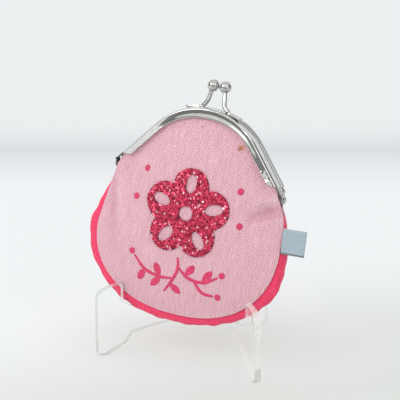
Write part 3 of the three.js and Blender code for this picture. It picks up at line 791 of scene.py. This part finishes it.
def stitched_leaf(base, tip, width, random):
    """A leaf of satin stitches that run outwards from its middle line on both sides."""
    base, tip = np.array(base), np.array(tip)
    length = np.hypot(*(tip - base))
    ahead = (tip - base) / length
    side = np.array([-ahead[1], ahead[0]])
    for at in np.arange(LEAF.start, length - LEAF.end, STITCH.pitch):
        half = width / 2 * math.sin(math.pi * (at / length) ** LEAF.low) ** LEAF.full
        middle = base + at * ahead
        for sign in (-1, 1):
            end = middle + sign * half * side + LEAF.sweep * half * ahead
            yield strand(middle - LEAF.overlap * sign * side, end, random.random())


def stitched_bud(x, z, random):
    """A round bud of level satin stitches."""
    radius = BUD.radius
    for off in np.arange(-radius + BUD.start, radius, STITCH.pitch):
        half = math.sqrt(max(radius ** 2 - off ** 2, BUD.least))
        yield strand((x - half, z + off), (x + half, z + off), random.random())


def sprig(material, random):
    stitches = []
    for points in STEMS:
        stitches += stitched_stem(points, random)
    for leaf in LEAVES:
        stitches += stitched_leaf(*leaf, random)
    for bud in BUDS:
        stitches += stitched_bud(*bud, random)
    return make_piece("stitched_sprig", stitches, material)


# Tag

def tag_line():
    """Middle line of the folded ribbon, as (distance out, depth), from the seam round the fold and back."""
    half = (TAG.thick - TAG.cloth) / 2
    straight = TAG.length - TAG.thick / 2
    out = np.linspace(0, straight, STEPS.tag_side)
    sag = TAG.sag * np.sin(np.pi * out / straight)
    fold = arc((straight, 0), half, -90, 90, STEPS.tag_fold)[1:-1]
    return np.concatenate([columns(out, sag - half), fold, columns(out, half - 0.5 * sag)[::-1]])


def tag(material):
    """Ribbon folded over and sewn into the front seam."""
    t = TAG
    line = tag_line()
    out, depth = wall_section(line, t.cloth / 2, t.cloth / 2).T
    along = distances(line)
    rings, values = [], []
    for h in np.linspace(-t.height / 2, t.height / 2, STEPS.tag):
        x, z = rotated(out, h, -t.turn)
        y = depth + t.wave * math.sin(0.5 * h + 0.7) * (out / t.length) ** 2
        rings.append(columns(t.x + x, y - SEAM.depth + CLOTH / 2 - t.thick / 2, t.z + z))
        values.append(columns(np.concatenate([along, along[::-1]]), h, 0.0))
    return make_piece("tag_ribbon", [tube(rings, values)], material, "side_tag", crease=50)


# Materials

class Nodes:
    """The node tree of a material or a world, with short calls that add nodes and join them."""

    def __init__(self, block, shader="Principled BSDF"):
        block.use_nodes = True
        self.block = block
        self.tree = block.node_tree
        self.shader = self.tree.nodes[shader]

    def put(self, socket, value):
        if isinstance(value, bpy.types.NodeSocket):
            self.tree.links.new(value, socket)
        elif isinstance(value, tuple) and socket.type == "RGBA":
            socket.default_value = (*value, 1.0)
        else:
            socket.default_value = value

    def node(self, kind, inputs=(), **settings):
        made = self.tree.nodes.new(kind)
        for key, value in settings.items():
            setattr(made, key, value)
        for key, value in dict(inputs).items():
            self.put(made.inputs[key], value)
        return made

    def math(self, operation, a, b=0.0, c=0.0):
        return self.node("ShaderNodeMath", {0: a, 1: b, 2: c}, operation=operation).outputs[0]

    def times(self, a, b):
        return self.math("MULTIPLY", a, b)

    def times_add(self, a, b, c):
        return self.math("MULTIPLY_ADD", a, b, c)

    def wave(self, value, length, kind="COSINE"):
        return self.math(kind, self.times(value, 2 * math.pi / length))

    def vector(self, operation, a, b=(0.0, 0.0, 0.0)):
        made = self.node("ShaderNodeVectorMath", {0: a, 1: b}, operation=operation)
        return made.outputs["Value" if operation in ("DISTANCE", "DOT_PRODUCT", "LENGTH") else "Vector"]

    def mix(self, factor, a, b, blend="MIX"):
        made = self.node("ShaderNodeMix", data_type="RGBA", blend_type=blend)
        for key, value in (("Factor", factor), ("A", a), ("B", b)):
            socket = [s for s in made.inputs if s.name == key and s.enabled][0]
            self.put(socket, value)
        return [s for s in made.outputs if s.enabled][0]

    def noise(self, vector, scale, detail=2.0):
        """Noise of one scale, or of a scale for each axis."""
        if isinstance(scale, tuple):
            vector, scale = self.vector("MULTIPLY", vector, scale), 1.0
        made = self.node("ShaderNodeTexNoise", {"Vector": vector, "Scale": scale, "Detail": detail})
        return made.outputs["Fac"]

    def ramp(self, value, low, high, start=0.0, end=1.0, kind="LINEAR"):
        limits = {"From Min": low, "From Max": high, "To Min": start, "To Max": end}
        made = self.node("ShaderNodeMapRange", {"Value": value, **limits}, interpolation_type=kind)
        return made.outputs["Result"]

    def ease(self, value, low, high, start=0.0, end=1.0):
        return self.ramp(value, low, high, start, end, "SMOOTHSTEP")

    def coordinates(self, kind):
        return self.node("ShaderNodeTexCoord").outputs[kind]

    def parts(self, vector):
        return self.node("ShaderNodeSeparateXYZ", {"Vector": vector}).outputs

    def cloth(self):
        """The piece's own coordinates: the vector, flat, and its three parts."""
        vector = self.node("ShaderNodeAttribute", attribute_name="cloth").outputs["Vector"]
        return self.vector("MULTIPLY", vector, (1.0, 1.0, 0.0)), *self.parts(vector)

    def place(self):
        """Where a point is in the part's frame, in millimetres."""
        return self.vector("MULTIPLY", self.coordinates("Object"), (1 / MM, 1 / MM, 1 / MM))

    def bump(self, height, depth):
        made = self.node("ShaderNodeBump", {"Height": height, "Strength": 1.0, "Distance": depth * MM})
        self.put(self.shader.inputs["Normal"], made.outputs["Normal"])

    def set(self, **sockets):
        for key, value in sockets.items():
            self.put(self.shader.inputs[key.replace("_", " ").title().replace("Ior", "IOR")], value)


def paint(name):
    return Nodes(bpy.data.materials.new(name))


# Weave: pitch and depth of its grooves along the warp, along the weft and in slanting rows, and how the rows
# climb
WEAVE = Sizes(warp=(0.76, 0.7), weft=(0.76, 0.25), rows=(1.0, 0.9), climb=math.radians(40))
CANVAS = Sizes(
    warp_dark=(0.71, 0.385, 0.455), warp_light=(0.915, 0.64, 0.695), weft=(0.845, 0.54, 0.60),
    between=(0.44, 0.19, 0.25), painted_fold_shade=(0.46, 0.21, 0.27), painted_fold_highlight=(0.95, 0.72, 0.77), broad=(0.70, 0.38, 0.46),
)
# Marks on the canvas: x, z, radius, strength and colour
MARKS = [
    (19.0, 19.9, 1.25, 1.0, (0.27, 0.085, 0.03)),
    (19.5, 20.3, 2.2, 0.35, (0.62, 0.30, 0.12)),
    (-1.5, 26.0, 0.6, 0.6, (0.22, 0.10, 0.12)),
    (-2.9, 20.0, 0.5, 0.5, (0.25, 0.12, 0.14)),
    (-15.9, 16.8, 0.45, 0.5, (0.25, 0.12, 0.14)),
    (-20.5, 13.5, 0.45, 0.5, (0.25, 0.12, 0.14)),
    (-35.8, -0.5, 1.4, 0.4, (0.42, 0.26, 0.27)),
]


def canvas(name, marks):
    """Pale pink canvas: a coarse weave in slanting rows, with slubs and a few marks, and painted shade in the
    hollows of the folds with a painted highlight on their ridges.
    """
    n = paint(name)
    cloth, u, v, fold = n.cloth()
    u = n.math("ADD", u, n.times_add(n.noise(cloth, (0.12, 0.5, 0.0)), 0.5, -0.25))
    v = n.math("ADD", v, n.times_add(n.noise(cloth, (0.5, 0.12, 0.0)), 0.5, -0.25))
    row = n.times_add(v, math.cos(WEAVE.climb), n.times(u, -math.sin(WEAVE.climb)))
    warp_slub = n.noise(cloth, (1.3, 0.12, 0.0), 3.0)
    weft_slub = n.noise(cloth, (0.12, 1.3, 0.0), 3.0)
    colour = n.mix(n.ramp(warp_slub, 0.3, 0.7), CANVAS.warp_dark, CANVAS.warp_light)
    colour = n.mix(n.ramp(weft_slub, 0.35, 0.65, 0.0, 0.6), colour, CANVAS.weft)
    height = 1.0
    for place, (pitch, depth) in ((u, WEAVE.warp), (v, WEAVE.weft), (row, WEAVE.rows)):
        near = n.math("ABSOLUTE", n.wave(place, 2 * pitch, "SINE"))
        colour = n.mix(n.ramp(near, 0.0, 0.6, depth, 0.0), colour, CANVAS.between)
        height = n.times(height, n.ramp(n.math("POWER", near, 0.6), 0.0, 1.0, 1.0 - depth, 1.0))
    # Painted shade in the hollows of the folds and painted highlight on their ridges, from the fold height
    colour = n.mix(n.ramp(fold, -0.2, -1.5, 0.0, 0.3), colour, CANVAS.painted_fold_shade)
    colour = n.mix(n.ramp(fold, 0.2, 1.2, 0.0, 0.25), colour, CANVAS.painted_fold_highlight)
    colour = n.mix(n.ramp(n.noise(cloth, 0.05), 0.3, 0.7, 0.0, 0.15), colour, CANVAS.broad)
    for x, z, radius, strength, tint in marks:
        away = n.vector("DISTANCE", cloth, (x, z, 0.0))
        ragged = n.times_add(n.noise(cloth, 1.4, 3.0), radius * 1.2, away)
        colour = n.mix(n.ramp(ragged, radius * 1.9, radius * 0.9, 0.0, strength), colour, tint)
    n.set(base_color=colour, roughness=0.92, sheen_weight=0.1, sheen_roughness=0.5, specular_ior_level=0.2)
    n.bump(height, 0.14)
    return n.block


def ribbed_band():
    """Hot pink cotton with fine ribs across it."""
    n = paint("ribbed_band")
    cloth, s, across, _ = n.cloth()
    rib = n.wave(s, GUSSET.rib)
    slub = n.noise(cloth, (1.2, 0.2, 0.0), 3.0)
    colour = n.mix(n.ramp(slub, 0.3, 0.7), (0.82, 0.045, 0.13), (0.95, 0.085, 0.19))
    colour = n.mix(n.ramp(rib, -1.0, 0.2, 0.45, 0.0), colour, (0.55, 0.016, 0.07))
    n.set(base_color=colour, roughness=0.85, sheen_weight=0.15, specular_ior_level=0.25)
    n.bump(n.times_add(n.wave(across, 0.4, "SINE"), 0.25, rib), 0.05)
    return n.block


def thread():
    """Hot pink embroidery thread, a shade different from stitch to stitch."""
    n = paint("embroidery_thread")
    _, tone, _, _ = n.cloth()
    grain = n.noise(n.place(), 2.5)
    colour = n.mix(tone, (0.60, 0.026, 0.105), (0.76, 0.055, 0.17))
    rough = n.ramp(grain, 0.3, 0.7, 0.36, 0.52)
    n.set(base_color=colour, roughness=rough, sheen_weight=0.2, specular_ior_level=0.45)
    n.bump(grain, 0.03)
    return n.block


def sequin_film():
    """Glossy crimson film, from dark to bright pink from one sequin to the next, with a few near white
    sequins as painted glints.
    """
    n = paint("sequin_film")
    _, tone, shine, _ = n.cloth()
    colour = n.mix(n.ramp(tone, 0.0, 0.3), (0.20, 0.006, 0.026), (0.58, 0.022, 0.072))
    colour = n.mix(n.ramp(tone, 0.3, 0.9), colour, (0.88, 0.07, 0.17))
    # Painted glints: the sequins of highest tone are near white
    colour = n.mix(n.ramp(tone, 0.93, 0.97), colour, (1.0, 0.55, 0.62))
    n.set(base_color=colour, metallic=0.5, roughness=n.ramp(shine, 0.0, 1.0, 0.16, 0.36), coat_weight=0.35)
    n.bump(n.noise(n.place(), 1.5, 1.0), 0.04)
    return n.block


def plain_weave(n, u, v, pitch):
    """Height of a plain weave."""
    across, along = (n.wave(value, 2 * pitch, "SINE") for value in (u, v))
    warp, weft = (
        n.times(
            n.math("POWER", n.math("ABSOLUTE", own), 0.6),
            n.times_add(n.times(n.math("SIGN", own), other), rise, 0.5),
        )
        for own, other, rise in ((across, along, 0.5), (along, across, -0.5))
    )
    return n.math("MAXIMUM", warp, weft)


def sequin_ground():
    """Dark crimson net that the sequins are fused to."""
    n = paint("sequin_ground")
    _, u, v, _ = n.cloth()
    height = plain_weave(n, u, v, 0.45)
    colour = n.mix(height, (0.09, 0.004, 0.02), (0.36, 0.012, 0.06))
    n.set(base_color=colour, roughness=0.8, specular_ior_level=0.2)
    n.bump(height, 0.08)
    return n.block


def nickel():
    """Bright smooth plate with faint smears and fine scratches, darkened where the first value says so: by
    tarnish, and by painted shade in the groove between the halves and in the left ear's curl.
    """
    n = paint("nickel_plate")
    place = n.place()
    _, tarnish_and_shade, _, _ = n.cloth()
    smear = n.noise(place, (0.25, 0.25, 0.6), 3.0)
    scratch = n.noise(place, (0.5, 9.0, 4.0))
    bright = n.mix(n.ramp(smear, 0.35, 0.7), (0.76, 0.762, 0.745), (0.66, 0.66, 0.635))
    # Darkening from the first value: tarnish, and painted shade in the groove and the left ear's curl
    patchy = n.times(tarnish_and_shade, n.ramp(n.noise(place, 0.9), 0.3, 0.6, 0.6, 1.0))
    colour = n.mix(patchy, bright, (0.10, 0.085, 0.075))
    rough = n.math("ADD", n.ramp(smear, 0.3, 0.7, 0.08, 0.16), n.ramp(scratch, 0.55, 0.75, 0.0, 0.06))
    n.set(base_color=colour, metallic=1.0, roughness=n.times_add(tarnish_and_shade, 0.15, rough))
    n.bump(n.times_add(scratch, 0.3, n.noise(place, 0.2, 1.0)), 0.012)
    return n.block


def satin_ribbon():
    """Pale blue grey ribbon with fine weft ribs, a firmer selvedge and a painted shadow along its lower edge.
    """
    n = paint("satin_ribbon")
    cloth, s, h, _ = n.cloth()
    half = TAG.height / 2
    slub = n.noise(cloth, (0.3, 2.2, 0.0), 3.0)
    colour = n.mix(n.ramp(slub, 0.3, 0.7), (0.315, 0.395, 0.455), (0.405, 0.485, 0.54))
    edge = n.ramp(n.math("ABSOLUTE", h), half - 0.9, half - 0.4, 0.0, 0.35)
    colour = n.mix(edge, colour, (0.48, 0.555, 0.60))
    # Painted shadow along the lower edge
    colour = n.mix(n.ramp(h, 1.1 - half, 0.5 - half, 0.0, 0.8), colour, (0.07, 0.08, 0.08))
    n.set(base_color=colour, roughness=0.55, sheen_weight=0.15, specular_ior_level=0.4)
    n.bump(n.times_add(n.wave(s, 0.3), 0.4, n.wave(h, 0.42)), 0.03)
    return n.block


# Cut edges of the easel's plates: tone, alpha at the lip and alpha below it. The tones are painted light and
# shade on the one clear acrylic: grey on the left plate, near white on the right.
PAINTED_EDGE_TONES = {
    "stand_left": ((0.62, 0.64, 0.59), 0.88, 0.88),
    "stand_right": ((0.97, 0.98, 0.965), 0.85, 0.3),
}
# Where the easel's looks change, in the part's frame: up to the lip, down and out to the toe, and to the rear
ZONES = Sizes(lip_z=(21.0, 26.0), toe_z=(8.5, 7.0), toe_y=(-31.0, -33.5), rear_y=(-15.0, 0.0))
POLISH = Sizes(width=0.35, segments=3, angle=40, smooth_angle=25)


def acrylic(name, across, tone, alpha, leg_alpha):
    """Clear polished sheet, very slightly uneven, with satin cut edges in a tone given for each plate, which
    is painted light and shade, and painted darker grey at the toe. alpha is how much the edges show at the
    lip and leg_alpha below it. across is the way the sheet's flat faces point."""
    n = paint(name)
    place = n.place()
    _, y, z = n.parts(place)
    cut = n.ramp(n.math("ABSOLUTE", n.vector("DOT_PRODUCT", n.coordinates("Normal"), across)), 0.8, 0.4)
    # Painted shade: the cut edges turn darker grey at the toe
    toe = n.times(n.ramp(z, *ZONES.toe_z), n.ramp(y, *ZONES.toe_y))
    tone = n.mix(toe, tone, (0.55, 0.56, 0.53))
    shown = n.math("MAXIMUM", n.ramp(z, *ZONES.lip_z, leg_alpha, alpha), n.times(toe, 0.75))
    shown = n.times(shown, n.ramp(y, *ZONES.rear_y, 1.0, 0.35))
    face = n.ramp(z, *ZONES.lip_z, 0.2 * leg_alpha, 0.4)
    polish = n.ramp(n.noise(place, 0.12, 3.0), 0.4, 0.7, 0.01, 0.06)
    n.set(
        base_color=n.mix(cut, (0.985, 0.995, 0.99), tone),
        roughness=n.times_add(cut, 0.2, polish),
        transmission_weight=n.ramp(cut, 0.0, 1.0, 1.0, 0.6),
        alpha=n.times_add(cut, n.math("SUBTRACT", shown, face), face),
        ior=1.07, coat_weight=0.5, coat_roughness=0.04,
    )
    n.bump(n.noise(place, 0.1, 1.0), 0.05)
    return n.block


STAGE_GLOW = 0.61
STAGE_SHADE = (0.33, 0.33, 0.33)


def stage_surface(name, near, far, axis, start, end, shade=None, pool=None):
    """Pale paper that glows with its own colour and shifts from one tone to another along one of its axes,
    which is painted shade. shade is a third tone of painted shade, a slope of (x, y) and the two values of
    that slope between which the tone comes in. pool is a painted shadow: a tone that darkens the paper in an
    oval, with the oval's middle and half sizes."""
    n = paint(name)
    here = n.coordinates("Object")
    parts = n.parts(here)
    # Painted shade: the paper is darker at one end of this shift
    colour = n.mix(n.ease(parts[axis], start, end), near, far)
    if shade:
        tone, (slope_x, slope_y), low, high = shade
        lean = n.math("ADD", n.times(parts["X"], slope_x), n.times(parts["Y"], slope_y))
        colour = n.mix(n.ease(lean, low, high), colour, tone)
    # Painted shadow in an oval under the purse
    if pool:
        tone, middle, half = pool
        off = n.vector("SUBTRACT", here, (*middle, 0.0))
        away = n.vector("LENGTH", n.vector("MULTIPLY", off, (1 / half[0], 1 / half[1], 0.0)))
        colour = n.mix(n.ease(away, 1.0, 0.0), colour, n.mix(1.0, colour, tone, "MULTIPLY"))
    n.set(
        base_color=n.mix(1.0, colour, STAGE_SHADE, "MULTIPLY"),
        roughness=n.ramp(n.noise(here, 900.0), 0.3, 0.7, 0.6, 0.7),
        specular_ior_level=0.15, emission_color=colour, emission_strength=STAGE_GLOW,
    )
    return n.block


# Stage, light and camera

# Table and wall, in metres: how far they reach, their two tones, and where one gives way to the other. The
# second tones are painted shade: the table darker towards its back edge, the wall darker low down. The
# table's shade is painted shade towards its front and right, and its last tone a painted shadow under the
# purse.
TABLE = Sizes(
    behind=0.318, front=2.6, side=2.6, near=(0.905, 0.925, 0.94), far=(0.70, 0.74, 0.76), fade=(0.225, 0.356),
    shade=((0.765, 0.79, 0.76), (0.45, -1.0), -0.07, 0.09),
    pool=((0.93, 0.90, 0.87), (-0.01, 0.006), (0.09, 0.05)),
)
WALL = Sizes(
    behind=2.2, side=4.5, low=-1.5, high=4.0, near=(0.74, 0.79, 0.81), far=(0.92, 0.95, 0.96),
    fade=(-0.605, -0.52),
)
SKY = Sizes(start=0.0, end=0.75, low=0.82, high=0.91)
# Lamps: name, bearing, elevation, distance and size in metres, watts, colour, and whether metal shows it
LAMPS = [
    ("key", -38, 38, 1.5, 0.7, 5.2, (1.0, 0.985, 0.97), True),
    ("fill", 55, 40, 1.7, 1.1, 1.5, (0.97, 0.985, 1.0), True),
    ("sparkle", 20, 50, 1.6, 0.12, 1.0, (1.0, 1.0, 1.0), True),
    ("low", 6, 5, 1.4, 1.0, 2.4, (1.0, 0.99, 0.98), False),
]
# Cards that only shiny surfaces show: bearing, half width, low and high edge, all in degrees, tone,
# distance in metres and glow
ROOM_CARDS = [
    (-24, 14, 1, 29, 0.26, 1.2, 0.0),
    (24, 20, -4, 14, 0.14, 1.2, 0.0),
    (118, 18, -10, 42, 0.12, 1.2, 0.0),
    (-76, 12, -10, 34, 0.12, 1.2, 0.0),
    (179, 9, -10, 42, 0.4, 1.2, 0.0),
    (-46, 9, -14, -5, 0.9, 0.3, 1.6),
]


def rectangle(half, low, high):
    """Corners of a rectangle that reaches as far to the left as to the right."""
    return [(-half, low), (half, low), (half, high), (-half, high)]


def stage_plane(name, corners, material, turn=0.0):
    made = new_mesh(name, corners, [range(len(corners))], material)
    made.rotation_euler = (0, 0, turn)
    return made


def build_stage():
    """A table that ends a little way behind the purse, and a wall well behind it."""
    turn = math.radians(CAMERA.azimuth)
    t, w = TABLE, WALL
    floor = [(x, y, 0) for x, y in rectangle(t.side, -t.front, t.behind)]
    paper = stage_surface("table_paper", t.near, t.far, "Y", *t.fade, shade=t.shade, pool=t.pool)
    stage_plane("floor", floor, paper, turn)
    wall = [(x, w.behind, z) for x, z in rectangle(w.side, w.low, w.high)]
    stage_plane("wall", wall, stage_surface("wall_paint", w.near, w.far, "Z", *w.fade), turn)


def direction(azimuth, elevation):
    """Unit vector towards a bearing, with azimuth 0 in front of the purse and 90 to its right, in degrees."""
    a, e = math.radians(azimuth), math.radians(elevation)
    return Vector((math.sin(a) * math.cos(e), -math.cos(a) * math.cos(e), math.sin(e)))


def build_light():
    """A pale sky that brightens upwards, and disc lamps aimed at the purse."""
    world = bpy.data.worlds.new("studio")
    bpy.context.scene.world = world
    n = Nodes(world, "Background")
    height = n.parts(n.coordinates("Generated"))["Z"]
    n.set(color=n.ease(height, SKY.start, SKY.end, SKY.low, SKY.high))
    target = Vector(TARGET) * MM
    for name, azimuth, elevation, distance, size, watts, tint, shown in LAMPS:
        lamp = bpy.data.lights.new(name, "AREA")
        lamp.shape = "DISK"
        lamp.size = size
        lamp.energy = watts
        lamp.color = tint
        made = new_object(name, lamp)
        made.visible_glossy = shown
        made.location = target + distance * direction(azimuth, elevation)
        made.rotation_euler = (target - made.location).to_track_quat("-Z", "Y").to_euler()


def build_cards():
    """Cards round the table, most of them dark, which only reflections see."""
    target = Vector(TARGET) * MM
    for azimuth, half, low, high, tone, away, glow in ROOM_CARDS:
        n = paint(f"room_{azimuth}")
        grain = n.noise(n.coordinates("Object"), 3.0)
        colour = n.mix(grain, (0.9 * tone, 0.9 * tone, 0.92 * tone), (1.1 * tone, 1.1 * tone, 1.1 * tone))
        n.set(base_color=colour, roughness=0.9, specular_ior_level=0.0)
        n.set(emission_color=colour, emission_strength=glow)
        corners = [
            target + away * direction(azimuth + side, height) for side, height in rectangle(half, low, high)
        ]
        card = stage_plane(f"room_card_{azimuth}", corners, n.block)
        card.visible_camera = False
        card.visible_diffuse = False
        card.visible_transmission = False
        card.visible_shadow = False


def build_camera():
    data = bpy.data.cameras.new("camera")
    data.lens = CAMERA.lens
    data.sensor_width = CAMERA.sensor
    made = new_object("camera", data)
    back = direction(CAMERA.azimuth, CAMERA.elevation)
    made.location = (Vector(TARGET) + CAMERA.distance * back) * MM
    made.rotation_euler = back.to_track_quat("Z", "Y").to_euler()
    bpy.context.scene.camera = made


def smooth_by_angle(degrees):
    """Node group that shades faces smooth, but for edges sharper than an angle."""
    group = bpy.data.node_groups.new("smooth_by_angle", "GeometryNodeTree")
    for way in ("INPUT", "OUTPUT"):
        group.interface.new_socket("Geometry", in_out=way, socket_type="NodeSocketGeometry")
    start, faces, edges, angle, sharp, end = (group.nodes.new(kind) for kind in (
        "NodeGroupInput", "GeometryNodeSetShadeSmooth", "GeometryNodeSetShadeSmooth",
        "GeometryNodeInputMeshEdgeAngle", "FunctionNodeCompare", "NodeGroupOutput",
    ))
    edges.domain = "EDGE"
    edges.inputs["Shade Smooth"].default_value = False
    sharp.operation = "GREATER_THAN"
    sharp.inputs["B"].default_value = math.radians(degrees)
    for before, after in ((start, faces), (faces, edges), (edges, end)):
        group.links.new(before.outputs["Geometry"], after.inputs["Geometry"])
    group.links.new(angle.outputs["Unsigned Angle"], sharp.inputs["A"])
    group.links.new(sharp.outputs["Result"], edges.inputs["Selection"])
    return group


def dress_stand():
    """The easel keeps its solids, with polished edges and clear materials."""
    smooth = smooth_by_angle(POLISH.smooth_angle)
    for name, (tone, alpha, leg_alpha) in PAINTED_EDGE_TONES.items():
        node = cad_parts[name]
        flat = max(node.data.polygons, key=lambda face: face.area)
        node.data.materials.clear()
        node.data.materials.append(acrylic("clear_" + name, tuple(flat.normal), tone, alpha, leg_alpha))
        node.modifiers.new("smooth_by_angle", "NODES").node_group = smooth
        edge = node.modifiers.new("polished_edge", "BEVEL")
        edge.harden_normals = True
        edge.width = POLISH.width * MM
        edge.segments = POLISH.segments
        edge.limit_method = "ANGLE"
        edge.angle_limit = math.radians(POLISH.angle)


def main():
    random = np.random.default_rng(SEED)
    bpy.context.scene.view_settings.view_transform = "Standard"
    build_camera()
    build_stage()
    build_light()
    build_cards()

    plate = nickel()
    front = panel("front_canvas", -1, canvas("canvas_front", MARKS), "front_panel")
    back = panel("back_canvas", 1, canvas("canvas_back", []), "back_panel")
    band = gusset(ribbed_band())
    for name in HALVES:
        frame_half(name, plate)
    for name, side in (("hinge_rivet_left", -1), ("hinge_rivet_right", 1)):
        rivet(name, side, plate)
    patch = blossom_cloth(sequin_ground())
    spangles = sequins(sequin_film(), random)
    stitches = sprig(thread(), random)
    ribbon = tag(satin_ribbon())
    dress_stand()


main()
